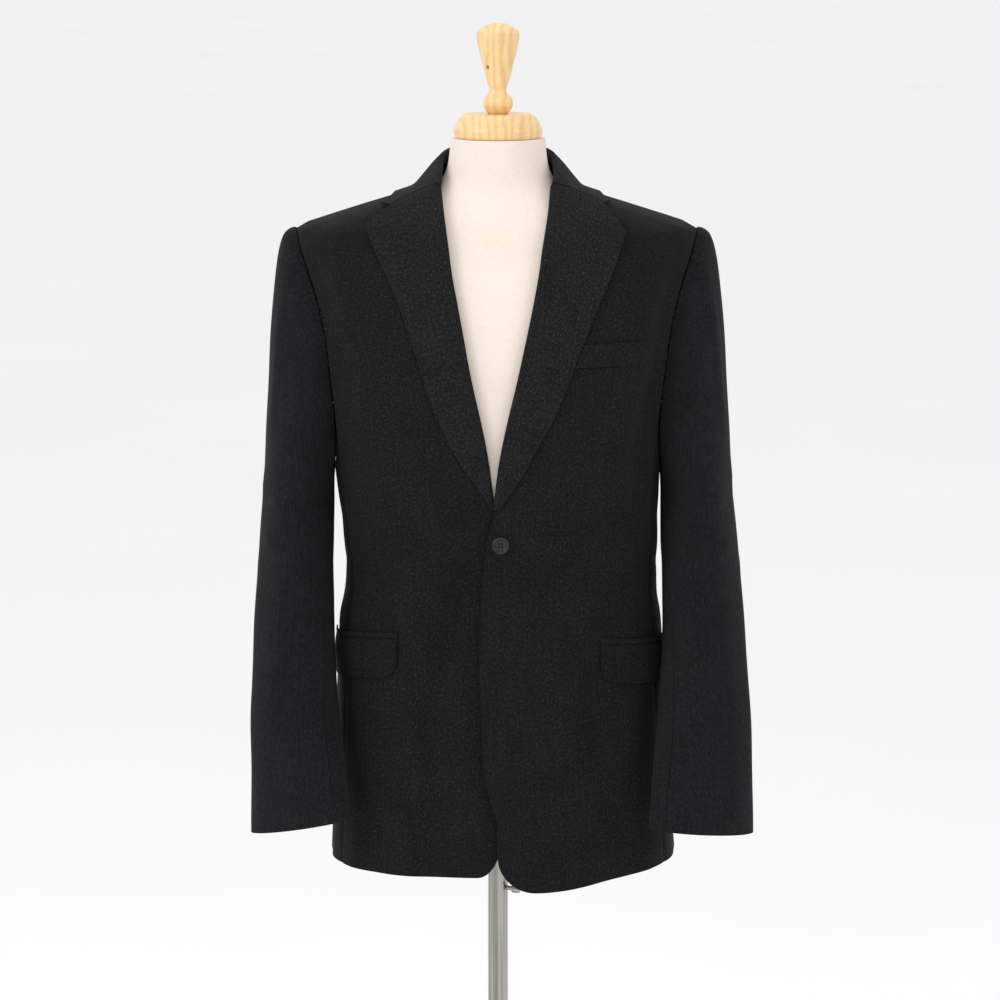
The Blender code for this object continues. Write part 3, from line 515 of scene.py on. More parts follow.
def clear_of_torso(side, point, gap):
    """The point itself or, if it is inside the panels, the first one up and out from it."""
    if not inside_torso(side, point, gap):
        return point
    away = (Vector((point.x, point.y, 0)).normalized() + Vector((0, 0, 1))).normalized()
    low, high = 0.0, 0.03
    for _ in range(16):
        middle = (low + high) / 2
        low, high = (middle, high) if inside_torso(side, point + away * middle, gap) else (low, middle)
    return point + away * high


def collar_lines(side, reach):
    """The fold and the outer edge of the collar at one reach round the neck."""
    line = {name: curve(reach) for name, curve in collar_line.items()}
    fold = Vector((side.sign * line["fold_x"], line["fold_y"], line["fold_z"]))
    return fold, torso_point(side, line["edge_angle"], line["edge_z"], LAID)


def gorge_point(side, u, knee):
    """A point of the collar's front end: along the gorge seam, then up the notch to the tip."""
    x = side.sign * mix(side.roll_x, side.collar_tip_x, u)
    dip = side.notch_z + 2 * SEAM - mix(side.roll_z, side.collar_tip_z, knee)
    z = mix(side.roll_z + 2 * SEAM, side.collar_tip_z, u) + dip * bent(u, knee)
    return on_front(side, x, z, lapel_lift(u, 1.0, z))


def form_inset(degrees, z):
    """How far the form lies inside the coat: close on the shoulders, loose below them."""
    on_shoulder = ease((z - 1.475) / 0.012)
    near_ridge = 1 - ease(abs(degrees - 90) / 60)
    loose = mix(0.007, 0.014, ease((1.2 - z) / 0.2)) if degrees < 90 else 0.007
    return mix(loose, FORM_SEAT, on_shoulder * max(near_ridge, 0.3))


# ---- Making meshes


def collection(name):
    made = bpy.data.collections.new(name)
    bpy.context.scene.collection.children.link(made)
    return made


PIECES = collection("blazer_looks")
LEFT_RIGHT = (LEFT, RIGHT)


def spread(count, fine=(0.0, 0.0015, 0.0035), span=0.15, start=True, end=True):
    """Shares from 0 to 1, with extra ones close to the ends, where the cloth turns over an edge."""
    low = [f / span for f in fine] if start else [0.0]
    high = [1 - f / span for f in reversed(fine)] if end else [1.0]
    inner = [mix(low[-1], high[0], i / count) for i in range(1, count)]
    return [*low, *inner, *high]


def grid_normals(grid):
    across = np.gradient(grid, axis=1)
    along = np.gradient(grid, axis=0)
    normals = np.cross(across, along)
    return normals / np.maximum(np.linalg.norm(normals, axis=2, keepdims=True), 1e-12)


def add_uv(mesh, name, values):
    """A UV layer of values given for each vertex."""
    layer = mesh.uv_layers.new(name=name)
    corners = np.empty(len(mesh.loops), np.int32)
    mesh.loops.foreach_get("vertex_index", corners)
    layer.data.foreach_set("uv", values[corners].astype(np.float32).ravel())


def add_mesh(name, points, faces, paint):
    mesh = bpy.data.meshes.new(name)
    mesh.from_pydata([tuple(point) for point in points], [], faces)
    mesh.shade_smooth()
    mesh.materials.append(paint)
    piece = bpy.data.objects.new(name, mesh)
    PIECES.objects.link(piece)
    return piece


def outwards(rows, side):
    """Rows ordered so that the loft's faces point out on either side of the coat."""
    return rows if side.sign > 0 else [row[::-1] for row in rows]


def ring_faces(rings, steps):
    """Faces between rings of points; each ring closes on itself."""
    faces = []
    for start in range(0, (rings - 1) * steps, steps):
        for i in range(steps):
            j = (i + 1) % steps
            faces.append((start + i, start + j, start + steps + j, start + steps + i))
    return faces


def baked(thing):
    """The thing's mesh with its modifiers or bevel applied."""
    bpy.context.view_layer.update()
    return bpy.data.meshes.new_from_object(thing.evaluated_get(bpy.context.evaluated_depsgraph_get()))


def add_cloth(name, rows, paint, wall=CLOTH, out=True, edge=0.0006):
    """A cloth shell through rows of points, with a wall, rounded rims and the weave's own scale."""
    grid = np.array([[tuple(point) for point in row] for row in rows])
    high, wide = grid.shape[:2]
    faces = [
        (i * wide + j, i * wide + j + 1, (i + 1) * wide + j + 1, (i + 1) * wide + j)
        for i in range(high - 1)
        for j in range(wide - 1)
    ]
    piece = add_mesh(name, grid.reshape(-1, 3), faces, paint)
    across = np.zeros((high, wide))
    across[:, 1:] = np.cumsum(np.linalg.norm(np.diff(grid, axis=1), axis=2), axis=1)
    across -= across[:, wide // 2][:, None]
    along = np.zeros((high, wide))
    along[1:] = np.cumsum(np.linalg.norm(np.diff(grid, axis=0), axis=2), axis=0)
    add_uv(piece.data, "weave", np.stack([across, along], axis=2).reshape(-1, 2))
    thicken = piece.modifiers.new("Cloth wall", "SOLIDIFY")
    thicken.thickness = wall
    thicken.offset = 1.0 if out else -1.0
    soften = piece.modifiers.new("Turned edge", "BEVEL")
    soften.width = edge
    soften.segments = 2
    soften.limit_method = "ANGLE"
    soften.angle_limit = math.radians(55)
    return piece


def add_turned(name, profile, paint, steps=64, matrix=None, sharp=40):
    """A profile of (radius, height) from top to bottom, turned about Z."""
    points = [Vector((r * math.cos(a), r * math.sin(a), z)) for r, z in profile if r > 0
              for a in (2 * math.pi * i / steps for i in range(steps))]
    rings = sum(1 for r, _ in profile if r > 0)
    faces = [(b, a, d, c) for a, b, c, d in ring_faces(rings, steps)]
    top, low = len(points), len(points) + 1
    points += [Vector((0, 0, profile[0][1])), Vector((0, 0, profile[-1][1]))]
    last = (rings - 1) * steps
    faces += [(top, i, (i + 1) % steps) for i in range(steps)]
    faces += [(low, last + (i + 1) % steps, last + i) for i in range(steps)]
    piece = add_mesh(name, points, faces, paint)
    piece.data.set_sharp_from_angle(angle=math.radians(sharp))
    if matrix is not None:
        piece.data.transform(matrix)
    return piece


def add_tube(name, points, radius, paint, closed=False, sides=2):
    """A round tube along a list of points."""
    curve = bpy.data.curves.new(name, "CURVE")
    curve.dimensions = "3D"
    curve.bevel_depth = radius
    curve.bevel_resolution = sides
    curve.use_fill_caps = True
    line = curve.splines.new("POLY")
    line.points.add(len(points) - 1)
    for place, point in zip(line.points, points):
        place.co = (*point, 1.0)
    line.use_cyclic_u = closed
    holder = bpy.data.objects.new(name, curve)
    PIECES.objects.link(holder)
    mesh = baked(holder)
    bpy.data.objects.remove(holder)
    mesh.name = name
    mesh.materials.clear()
    mesh.materials.append(paint)
    mesh.shade_smooth()
    piece = bpy.data.objects.new(name, mesh)
    PIECES.objects.link(piece)
    return piece


def joined(name, pieces):
    """One object made of several meshes."""
    with bpy.context.temp_override(active_object=pieces[0], selected_editable_objects=pieces):
        bpy.ops.object.join()
    pieces[0].name = name
    return pieces[0]


def finish_cloth(piece, node):
    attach(piece, "root")
    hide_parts(node)


def finish_hard(piece, slot, *nodes):
    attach(piece, "root")
    if nodes:
        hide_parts(*nodes)


# ---- Materials


class Nodes:
    """A short way to build a material's nodes."""

    def __init__(self, name, roughness, metallic=0.0):
        self.material = bpy.data.materials.new(name)
        self.material.use_nodes = True
        self.tree = self.material.node_tree
        self.shader = self.tree.nodes["Principled BSDF"]
        self.shader.inputs["Roughness"].default_value = roughness
        self.shader.inputs["Metallic"].default_value = metallic

    def link(self, source, target):
        self.tree.links.new(source, target)

    def set(self, **values):
        for name, value in values.items():
            self.shader.inputs[name.replace("_", " ")].default_value = value

    def place(self, kind, scale=(1, 1, 1), turn=(0, 0, 0)):
        """Coordinates: the weave's, in metres, or the object's own."""
        if kind == "weave":
            coords = self.tree.nodes.new("ShaderNodeUVMap")
            coords.uv_map = "weave"
            out = coords.outputs["UV"]
        else:
            out = self.tree.nodes.new("ShaderNodeTexCoord").outputs["Object"]
        mapping = self.tree.nodes.new("ShaderNodeMapping")
        mapping.inputs["Scale"].default_value = scale
        mapping.inputs["Rotation"].default_value = turn
        self.link(out, mapping.inputs["Vector"])
        return mapping.outputs["Vector"]

    def noise(self, where, scale, detail=2.0, rough=0.5, distortion=0.0):
        made = self.tree.nodes.new("ShaderNodeTexNoise")
        made.inputs["Scale"].default_value = scale
        made.inputs["Detail"].default_value = detail
        made.inputs["Roughness"].default_value = rough
        made.inputs["Distortion"].default_value = distortion
        self.link(where, made.inputs["Vector"])
        return made.outputs["Fac"]

    def wave(self, where, scale, distortion=0.0, bands="X", detail=2.0, detail_scale=1.0):
        made = self.tree.nodes.new("ShaderNodeTexWave")
        made.bands_direction = bands
        made.inputs["Scale"].default_value = scale
        made.inputs["Distortion"].default_value = distortion
        made.inputs["Detail"].default_value = detail
        made.inputs["Detail Scale"].default_value = detail_scale
        self.link(where, made.inputs["Vector"])
        return made.outputs["Fac"]

    def math(self, operation, a, b=0.5):
        made = self.tree.nodes.new("ShaderNodeMath")
        made.operation = operation
        for socket, value in zip(made.inputs, (a, b)):
            if isinstance(value, (int, float)):
                socket.default_value = value
            else:
                self.link(value, socket)
        return made.outputs["Value"]

    def ramp(self, value, *stops):
        """Colours at places along the value, as (place, (r, g, b))."""
        made = self.tree.nodes.new("ShaderNodeValToRGB")
        elements = made.color_ramp.elements
        while len(elements) < len(stops):
            elements.new(0.5)
        for element, (place, colour) in zip(elements, stops):
            element.position = place
            element.color = (*colour, 1.0)
        self.link(value, made.inputs["Fac"])
        return made.outputs["Color"]

    def blend(self, share, a, b, kind="MIX"):
        made = self.tree.nodes.new("ShaderNodeMix")
        made.data_type = "RGBA"
        made.blend_type = kind
        sockets = [made.inputs[name] for name in ("Factor", "A", "B")]
        for socket, value in zip(sockets, (share, a, b)):
            if isinstance(value, (int, float)):
                socket.default_value = value
            elif isinstance(value, tuple):
                socket.default_value = (*value, 1.0)
            else:
                self.link(value, socket)
        return made.outputs["Result"]

    def darkened(self, share, colour, value, low, tone, high):
        """The colour, darker to this tone where the value is low."""
        shade = self.ramp(value, (low, grey(tone)), (high, grey(1.0)))
        return self.blend(share, colour, shade, "MULTIPLY")

    def bump(self, height, strength, distance):
        made = self.tree.nodes.new("ShaderNodeBump")
        made.inputs["Strength"].default_value = strength
        made.inputs["Distance"].default_value = distance
        self.link(height, made.inputs["Height"])
        self.link(made.outputs["Normal"], self.shader.inputs["Normal"])

    def colour(self, socket):
        self.link(socket, self.shader.inputs["Base Color"])


def grey(value):
    return (value, value, value)


def make_wool(name, base, tint):
    """Milled wool flannel: a dark ground, pale and black fibres lying mostly along the warp."""
    m = Nodes(name, 0.92)
    m.set(Sheen_Weight=0.03, Sheen_Roughness=0.45, Specular_IOR_Level=0.14)
    m.shader.inputs["Sheen Tint"].default_value = (0.74, 0.72, 0.80, 1.0)

    def shade(share):
        return tuple(base * share * channel for channel in tint)

    fibres = m.noise(m.place("weave", (1, 0.5, 1)), 950, detail=3.0, rough=0.75)
    flecks = m.noise(m.place("weave", (1, 0.7, 1)), 430, detail=4.0, rough=0.78)
    streaks = m.noise(m.place("weave", (1, 0.05, 1)), 300, detail=3.0)
    clouds = m.noise(m.place("object"), 22, detail=4.0, rough=0.6)
    ground = m.ramp(fibres, (0.34, shade(0.35)), (0.50, shade(0.9)), (0.66, shade(2.1)))
    pale = m.math("MULTIPLY", m.ramp(flecks, (0.50, (0, 0, 0)), (0.66, (1, 1, 1))), 0.75)
    mixed = m.blend(pale, ground, shade(4.4))
    streaked = m.darkened(0.6, mixed, streaks, 0.32, 0.62, 0.68)
    m.colour(m.darkened(0.6, streaked, clouds, 0.32, 0.62, 0.68))
    twill = m.wave(m.place("weave", turn=(0, 0, math.radians(52))), 520, distortion=1.2, detail=1.0)
    nap = m.noise(m.place("weave"), 1000, detail=3.0)
    m.bump(m.math("ADD", m.math("MULTIPLY", twill, 0.45), nap), 0.7, 0.0003)
    return m.material


def make_jersey():
    m = Nodes("form_jersey", 0.88)
    m.set(Sheen_Weight=0.12, Sheen_Roughness=0.5)
    where = m.place("object")
    blot = m.noise(where, 9, detail=3.0)
    pill = m.noise(where, 260, detail=2.0)
    knit = m.wave(m.place("object", (1, 1, 1)), 330, distortion=0.6, bands="Z", detail=1.0)
    base = m.ramp(blot, (0.3, (0.83, 0.72, 0.63)), (0.7, (0.87, 0.77, 0.68)))
    m.colour(m.darkened(0.25, base, pill, 0.35, 0.86, 0.6))
    m.bump(m.math("ADD", m.math("MULTIPLY", knit, 0.5), pill), 0.25, 0.00025)
    return m.material


def make_wood():
    """Pale turned pine: growth rings cut across, darker late wood, a satin varnish."""
    m = Nodes("turned_wood", 0.36)
    m.set(Coat_Weight=0.35, Coat_Roughness=0.22)
    along = m.place("object", (1.0, 1.0, 0.16), turn=(0.10, 0.06, 0))
    rings = m.wave(along, 34, distortion=7.0, bands="X", detail=3.0, detail_scale=1.1)
    pores = m.noise(m.place("object", (1, 1, 0.05)), 900, detail=2.0)
    blot = m.noise(m.place("object"), 24, detail=3.0)
    pale, middle, late = (0.93, 0.66, 0.31), (0.88, 0.58, 0.26), (0.72, 0.42, 0.17)
    grain = m.ramp(rings, (0.10, pale), (0.60, middle), (0.95, late))
    soft = m.blend(0.5, grain, (0.92, 0.63, 0.30))
    shaded = m.darkened(0.35, soft, blot, 0.3, 0.74, 0.7)
    m.colour(m.darkened(0.2, shaded, pores, 0.38, 0.7, 0.5))
    m.bump(m.math("ADD", m.math("MULTIPLY", rings, 0.3), pores), 0.12, 0.0002)
    return m.material


def make_knot():
    m = Nodes("wood_knot", 0.4)
    m.set(Coat_Weight=0.3, Coat_Roughness=0.25)
    where = m.place("object", (1, 1, 0.7))
    speckle = m.noise(where, 700, detail=3.0)
    m.colour(m.ramp(speckle, (0.3, (0.16, 0.06, 0.02)), (0.7, (0.36, 0.17, 0.07))))
    m.bump(m.noise(where, 1500), 0.2, 0.0002)
    return m.material


def make_steel(name, grain, rough, banding):
    """Brushed steel; grain scales the noise so that its lines run along the piece."""
    m = Nodes(name, rough, 1.0)
    lines = m.noise(m.place("object", grain), 420, detail=4.0, rough=0.6)
    smear = m.noise(m.place("object"), 18, detail=3.0)
    bands = m.noise(m.place("object", grain), 95, detail=2.0)
    tone = m.ramp(lines, (0.3, (0.30, 0.29, 0.265)), (0.7, (0.50, 0.485, 0.45)))
    banded = m.darkened(banding, tone, bands, 0.40, 0.45, 0.60)
    m.colour(m.darkened(0.35, banded, smear, 0.3, 0.78, 0.7))
    worn = m.ramp(lines, (0.2, grey(rough * 0.75)), (0.8, grey(rough * 1.3)))
    m.link(worn, m.shader.inputs["Roughness"])
    m.bump(lines, 0.10, 0.0001)
    return m.material


def make_horn():
    """Dark horn: smoky streaks under a satin polish."""
    m = Nodes("horn_button", 0.42)
    m.set(Coat_Weight=0.1, Coat_Roughness=0.2, Specular_IOR_Level=0.35)
    where = m.place("object", (1, 1, 0.35), turn=(0, 0.5, 0.3))
    streak = m.noise(where, 240, detail=4.0, distortion=1.6)
    dark, middle, pale = (0.004, 0.004, 0.005), (0.009, 0.009, 0.010), (0.028, 0.027, 0.028)
    m.colour(m.ramp(streak, (0.32, dark), (0.55, middle), (0.78, pale)))
    m.bump(m.noise(m.place("object"), 2600, detail=2.0), 0.08, 0.0001)
    return m.material


def make_thread(name, tone):
    m = Nodes(name, 0.7)
    m.set(Specular_IOR_Level=0.2)
    twist = m.wave(m.place("object", turn=(0.4, 0.5, 0.6)), 1800, distortion=0.5)
    m.colour(m.ramp(twist, (0.2, grey(tone * 0.5)), (0.8, grey(tone))))
    m.bump(twist, 0.4, 0.0001)
    return m.material


WOOL = make_wool("blazer_wool", 0.0072, (1.0, 0.97, 1.08))
# Lapels and collar fall: the same wool with a lighter base, painted light standing in for the brighter
# light that falls on them
WOOL_LAPEL_PAINTED_LIGHT = make_wool("lapel_wool_painted_lighter", 0.0102, (1.02, 1.0, 1.0))
# Sleeves: the same wool with a lighter base, painted light standing in for how the light falls on them
WOOL_SLEEVE_PAINTED_LIGHT = make_wool("sleeve_wool_painted_lighter", 0.0084, (1.0, 0.96, 1.10))
JERSEY = make_jersey()
WOOD = make_wood()
KNOT = make_knot()
POLE_STEEL = make_steel("pole_steel", (1, 1, 0.012), 0.26, 0.85)
PLATE_STEEL = make_steel("plate_steel", (1, 0.02, 1), 0.34, 0.12)
HORN = make_horn()
THREAD = make_thread("button_thread", 0.030)
HOLE_THREAD = make_thread("buttonhole_thread", 0.0025)


# ---- Body panels

BODY_HEIGHTS = 118  # rows of a panel from hem to neck
SEAM_DIP = 0.0009  # how far pressed seams sink
SEAM_WIDTH = 0.0045
DART_LOW_Z, DART_TOP_Z = 1.010, 1.270
DART_LOW_X, DART_TOP_X = 0.131, 0.122


def panel_heights(low, high, count):
    """Heights with extra rows close to both ends."""
    return [mix(low, high, share) for share in spread(count, span=high - low)]


def dip(distance):
    return -SEAM_DIP * math.exp(-((distance / SEAM_WIDTH) ** 2))


def body_row(side, z, start, end, shares, dips, lapped=False):
    """A row of a panel's inner face between two angles, sunk at the seams named in dips."""
    width = abs(end - start) * METRES_PER_DEGREE
    row = []
    for share in shares:
        degrees = mix(start, end, share)
        height = hem_warp(side, degrees, z)
        out = -CLOTH
        if "start" in dips:
            out += dip(share * width)
        if "end" in dips:
            out += dip((1 - share) * width)
        if lapped:
            x = torso_skin(side, degrees, height).x
            out += lap_offset(side, x, height) + dart_dip(side, x, height)
        row.append(torso_point(side, degrees, height, out))
    return row


def dart_dip(side, x, z):
    """The front dart: a fine pressed line from under the chest down to the pocket."""
    if not DART_LOW_Z < z < DART_TOP_Z:
        return 0.0
    middle = side.sign * mix(DART_LOW_X, DART_TOP_X, (z - DART_LOW_Z) / (DART_TOP_Z - DART_LOW_Z))
    ends = ease((z - DART_LOW_Z) / 0.02) * ease((DART_TOP_Z - z) / 0.05)
    return -0.0007 * ends * math.exp(-(((x - middle) / 0.0022) ** 2))


def add_fronts():
    shares = sorted({*spread(54, span=0.19), *(0.545 + 0.0075 * i for i in range(16))})
    for side in LEFT_RIGHT:
        rows = []
        for z in panel_heights(HEM_TABLE_Z, NECK_Z, BODY_HEIGHTS):
            start = angle_of_x(side, front_edge[side.lap](z), z)
            gap = seam_degrees(side, z)
            low = z <= SIDE_SEAM_TOP_Z
            end = (side_seams["front_side"](z) if low else 90 - armhole_angle(z)) - gap
            rows.append(body_row(side, z, start, end, shares, ("end",), lapped=True))
        piece = add_cloth(f"coat_front_{side.name}", outwards(rows, side), WOOL)
        finish_cloth(piece, f"front_{side.name}")


def add_side_panels():
    bend_z = 1.120
    for side in LEFT_RIGHT:
        rows = []
        for z in panel_heights(HEM_TABLE_Z, SIDE_SEAM_TOP_Z, 84):
            gap = seam_degrees(side, z)
            start = side_seams["front_side"](z) + gap
            end = side_seams["side_back"](z) - gap
            row = body_row(side, z, start, end, spread(26), ("start", "end"))
            if z > bend_z:
                lift = (z - bend_z) / (SIDE_SEAM_TOP_Z - bend_z)
                row = []
                for share in spread(26):
                    degrees = mix(start, end, share)
                    top = min(armhole_bottom(degrees), SIDE_SEAM_TOP_Z)
                    width = abs(end - start) * METRES_PER_DEGREE
                    out = dip(share * width) + dip((1 - share) * width) - CLOTH
                    row.append(torso_point(side, degrees, mix(bend_z, top, lift), out))
            rows.append(row)
        piece = add_cloth(f"coat_side_{side.name}", outwards(rows, side), WOOL)
        finish_cloth(piece, f"side_{side.name}")


def add_backs():
    for side in LEFT_RIGHT:
        rows = []
        for z in panel_heights(HEM_TABLE_Z, NECK_Z, BODY_HEIGHTS):
            gap = seam_degrees(side, z)
            low = z <= SIDE_SEAM_TOP_Z
            start = (side_seams["side_back"](z) if low else 90 + armhole_angle(z)) + gap
            rows.append(body_row(side, z, start, 180 - gap, spread(54, span=0.2), ("start", "end")))
        piece = add_cloth(f"coat_back_{side.name}", outwards(rows, side), WOOL)
        finish_cloth(piece, f"back_{side.name}")


# ---- Sleeves


def sleeve_grid(side, angles):
    """The inner face of the sleeve between two seams, with its folds pressed in."""
    caps = [0.0, 0.012, 0.03, 0.06, *(0.06 + 0.94 * i / 34 for i in range(1, 35))]
    low = SLEEVES[side.name][-1].z
    high = SLEEVES[side.name][0].z
    heights = [mix(high, low, share) for share in spread(84, span=0.38, start=False)[1:]]
    rows = [[sleeve_cap_point(side, around, share) for around in angles] for share in caps]
    rows += [[sleeve_ring_point(side, around, z) for around in angles] for z in heights]
    grid = np.array([[tuple(point) for point in row] for row in rows])
    normals = grid_normals(grid) * side.sign * -1
    for i, row in enumerate(rows):
        share = caps[i] if i < len(caps) else 1.0
        calm = ease(share / 0.25) * ease((row[0].z - low - 0.004) / 0.03)
        roped = 0.0012 * math.exp(-(((share - 0.09) / 0.05) ** 2))
        roped -= 0.0010 * math.exp(-((share / 0.03) ** 2))
        for j, around in enumerate(angles):
            z = row[j].z
            depth = calm * fold_depth(SLEEVE_FOLDS, side.name, around, z, SLEEVE_METRES_PER_DEGREE)
            depth += 0.0005 * calm * math.sin(z * 37 + around * 0.05) * math.sin(around * 0.06 - z * 21)
            fore_off = abs(around - FOREARM_SEAM)
            hind_off = min(abs(around - HIND_SEAM), abs(around - HIND_SEAM - 360))
            sunk = 0.35 * dip(fore_off * SLEEVE_METRES_PER_DEGREE)
            sunk += dip(hind_off * SLEEVE_METRES_PER_DEGREE)
            high_side = max(0.0, math.cos(math.radians(around)))
            grid[i, j] += normals[i, j] * (depth + sunk * ease(share / 0.3) + roped * high_side)
    return grid


def add_sleeves():
    gap = math.degrees(SEAM / 2 / 0.04)
    pieces = {
        "top_sleeve": (HIND_SEAM + gap, FOREARM_SEAM - gap, 64),
        "under_sleeve": (FOREARM_SEAM + gap, 360 + HIND_SEAM - gap, 22),
    }
    for side in LEFT_RIGHT:
        for name, (start, end, count) in pieces.items():
            angles = [mix(start, end, share) for share in spread(count, span=0.12)]
            rows = sleeve_grid(side, angles)
            if side.sign < 0:
                rows = rows[:, ::-1]
            piece = add_cloth(f"coat_{name}_{side.name}", rows, WOOL_SLEEVE_PAINTED_LIGHT)
            finish_cloth(piece, f"{name}_{side.name}")


# ---- Lapels and collar

ROLL = 0.0021  # radius of the fold where a lapel turns over the front edge
ROLL_TUCK = 0.007  # how far its facing runs back behind the edge


def lapel_lift(share, t, z):
    """How far a lapel stands off the front: at the roll, and near its tip on the shoulder."""
    swell = 0.0016 * (1 - share) ** 2 * ease(t * 3)
    hollow = 0.0012 * math.sin(math.pi * share) * ease(t * 2)
    return LAID + swell + hollow + LAPEL_LIFT * ease((z - 1.42) / 0.05)


def lapel_rows(side, lengths=76):
    """Rows from the bottom of the V to the gorge seam and the notch; each runs roll to edge."""
    start_z = LAPEL_EDGE[0].z
    knee = (side.notch_x - side.roll_x) / (side.lapel_tip_x - side.roll_x)
    straight = mix(side.roll_z, side.lapel_tip_z, knee)
    shares = [knee * s for s in spread(22, span=0.06, end=False)]
    shares += [mix(knee, 1.0, s) for s in spread(6, span=0.03, start=False)[1:]]
    rows = []
    for t in spread(lengths, span=0.36):
        roll_z = mix(start_z, side.roll_z, t)
        edge_z = mix(start_z, side.lapel_tip_z, t)
        roll_x = front_edge[side.lap](roll_z)
        edge_x = lapel_edge[side.lap](edge_z)
        if t == 1.0:
            edge_x = side.sign * side.lapel_tip_x
        rise = (side.notch_z - SEAM - straight) * max(0.0, (t - 0.8) / 0.2) ** 2
        lift = lapel_lift(0.0, t, roll_z)
        radius = (lift + CLOTH + 0.0004) / 2
        row = []
        for turn in (None, 180, 150, 120, 90, 60, 30):
            angle = math.radians(turn if turn is not None else 180)
            x = roll_x - side.sign * radius * math.sin(angle) * ease(t * 6)
            if turn is None:
                x = roll_x + side.sign * ROLL_TUCK * ease(t * 4)
            row.append(on_front(side, x, roll_z, lift - radius + radius * math.cos(angle)))
        for share in shares:
            x = mix(roll_x, edge_x, share)
            z = mix(roll_z, edge_z, share) + rise * bent(share, knee)
            row.append(on_front(side, x, z, lapel_lift(share, t, z)))
        rows.append(row)
    return rows


def add_lapels():
    for side in LEFT_RIGHT:
        piece = add_cloth(f"coat_lapel_{side.name}", outwards(lapel_rows(side), side), WOOL_LAPEL_PAINTED_LIGHT)
        finish_cloth(piece, f"lapel_{side.name}")


def fall_row(side, reach):
    """One strip of the fall: the leaf inside, over the fold, and down to the outer edge."""
    knee = (side.notch_x - side.roll_x) / (side.collar_tip_x - side.roll_x)
    fold, edge = collar_lines(side, min(reach, COLLAR_JOIN))
    share = max(0.0, (reach - COLLAR_JOIN) / (1 - COLLAR_JOIN))
    outer = []
    to_knee = [knee * s for s in spread(16, span=0.06, start=False)]
    for u in to_knee + [mix(knee, 1.0, s) for s in (0.5, 0.9, 1.0)]:
        point = fold.lerp(edge, u)
        point.z -= COLLAR_SAG * SAG_PEAK * u * u * (1 - u) * ease((reach - 0.1) / 0.4)
        point = point.lerp(gorge_point(side, u, knee), share)
        outer.append(point if share == 1 else clear_of_torso(side, point, LAID + 0.0008))
    top = outer[0]
    inward = Vector((-top.x, -top.y * (1 - share), 0)).normalized()
    radius = mix(0.0014, ROLL, share)
    row = []
    for turn in (200, 180, 150, 120, 90, 60, 30):
        angle = math.radians(min(turn, 180))
        point = top + inward * radius * (1 - math.cos(angle))
        point.z += radius * (math.sin(angle) - 0.75 * (1 - math.cos(angle)))
        if turn > 180:
            point += Vector((-inward.x * 0.001, -inward.y * 0.001, -0.006))
        row.append(point)
    return row + outer


def add_collar(steps=56):
    reaches = [i / steps for i in range(1, steps + 1)]
    fall = [fall_row(RIGHT, reach) for reach in reversed(reaches)]
    fall += [fall_row(LEFT, reach) for reach in (0.0, *reaches)]
    piece = add_cloth("coat_collar_fall", [row[::-1] for row in fall], WOOL_LAPEL_PAINTED_LIGHT)
    finish_cloth(piece, "collar_fall")
    stand = []
    inner = [STAND_REACH * i / steps for i in range(steps + 1)]
    places = [(RIGHT, reach) for reach in reversed(inner[1:])] + [(LEFT, reach) for reach in inner]
    for side, reach in places:
        fold, _ = collar_lines(side, reach)
        degrees = 180 - 90 * min(reach / 0.6, 1.0) - 22 * max(0.0, (reach - 0.6) / 0.2)
        seat = torso_point(side, degrees, NECK_Z - 0.001, -CLOTH * 0.8)
        seat.z = NECK_Z + SEAM * 2
        top = Vector((fold.x * 0.92, fold.y * 0.92, fold.z - 0.005))
        stand.append([top.lerp(seat, share) for share in spread(10, span=0.03)])
    piece = add_cloth("coat_collar_stand", stand, WOOL, out=False)
    finish_cloth(piece, "collar_stand")


# ---- Pockets


def add_flap_pockets():
    corner = 7.5
    for side in LEFT_RIGHT:

        def top(degrees, side=side):
            return side.flap_top_z - FLAP_FALL * (degrees - FLAP_FROM) / (FLAP_TO - FLAP_FROM)

        def bottom(degrees, top=top):
            near = min(degrees - FLAP_FROM, FLAP_TO - degrees)
            reach = min(near / corner, 1.0)
            return top(degrees) - FLAP_HEIGHT + FLAP_CORNER * (1 - math.sqrt(1 - (1 - reach) ** 2))

        close = [0.01 * i for i in range(1, 12)]  # extra columns at the rounded corners
        shares = sorted({*spread(56, span=0.19), *close, *(1 - share for share in close)})
        angles = [mix(FLAP_FROM, FLAP_TO, share) for share in shares]
        flap = []
        for share in spread(16, span=FLAP_HEIGHT):
            belly = 0.0016 * math.sin(math.pi * min(1.0, 1.15 * (1 - share))) + 0.0006 * (1 - share)
            belly -= 0.0014 * ease((share - 0.93) / 0.06)
            heights = [mix(bottom(a), top(a), share) for a in angles]
            flap.append([torso_point(side, a, z, LAID + belly) for a, z in zip(angles, heights)])
        piece = add_cloth(f"coat_flap_{side.name}", outwards(flap, side), WOOL)
        finish_cloth(piece, f"flap_{side.name}")
        jet = []
        for share in spread(4, fine=(0.0, 0.0008), span=JET_HEIGHT):
            puff = 0.0006 * math.sin(math.pi * share) + 0.0003
            lift = JET_HEIGHT * share
            jet.append([torso_point(side, a, top(a) + SEAM + lift, LAID + puff) for a in angles])
        piece = add_cloth(f"coat_jet_{side.name}", outwards(jet, side), WOOL)
        finish_cloth(piece, f"jet_{side.name}")


def add_chest_welt():
    rows = []
    for share in spread(10, span=0.026):
        height = mix(WELT["bottom"], WELT["top"], share)
        inner_x = lapel_edge["over"](height) + 0.0012
        row = []
        for along in spread(34, span=0.08):
            x = mix(inner_x, WELT["outer_x"], along)
            z = height + WELT["rise"] * along
            row.append(on_front(LEFT, x, z, LAID - 0.0006 + 0.0004 * math.sin(math.pi * share)))
        rows.append(row)
    piece = add_cloth("coat_chest_welt", rows, WOOL, edge=0.0005)
    finish_cloth(piece, "chest_welt")


# ---- Buttons and buttonholes


def face_frame(place):
    """A frame at this place with its Z pointing forward, out of the coat."""
    return Matrix.Translation(place) @ Matrix.Rotation(math.radians(90), 4, "X")


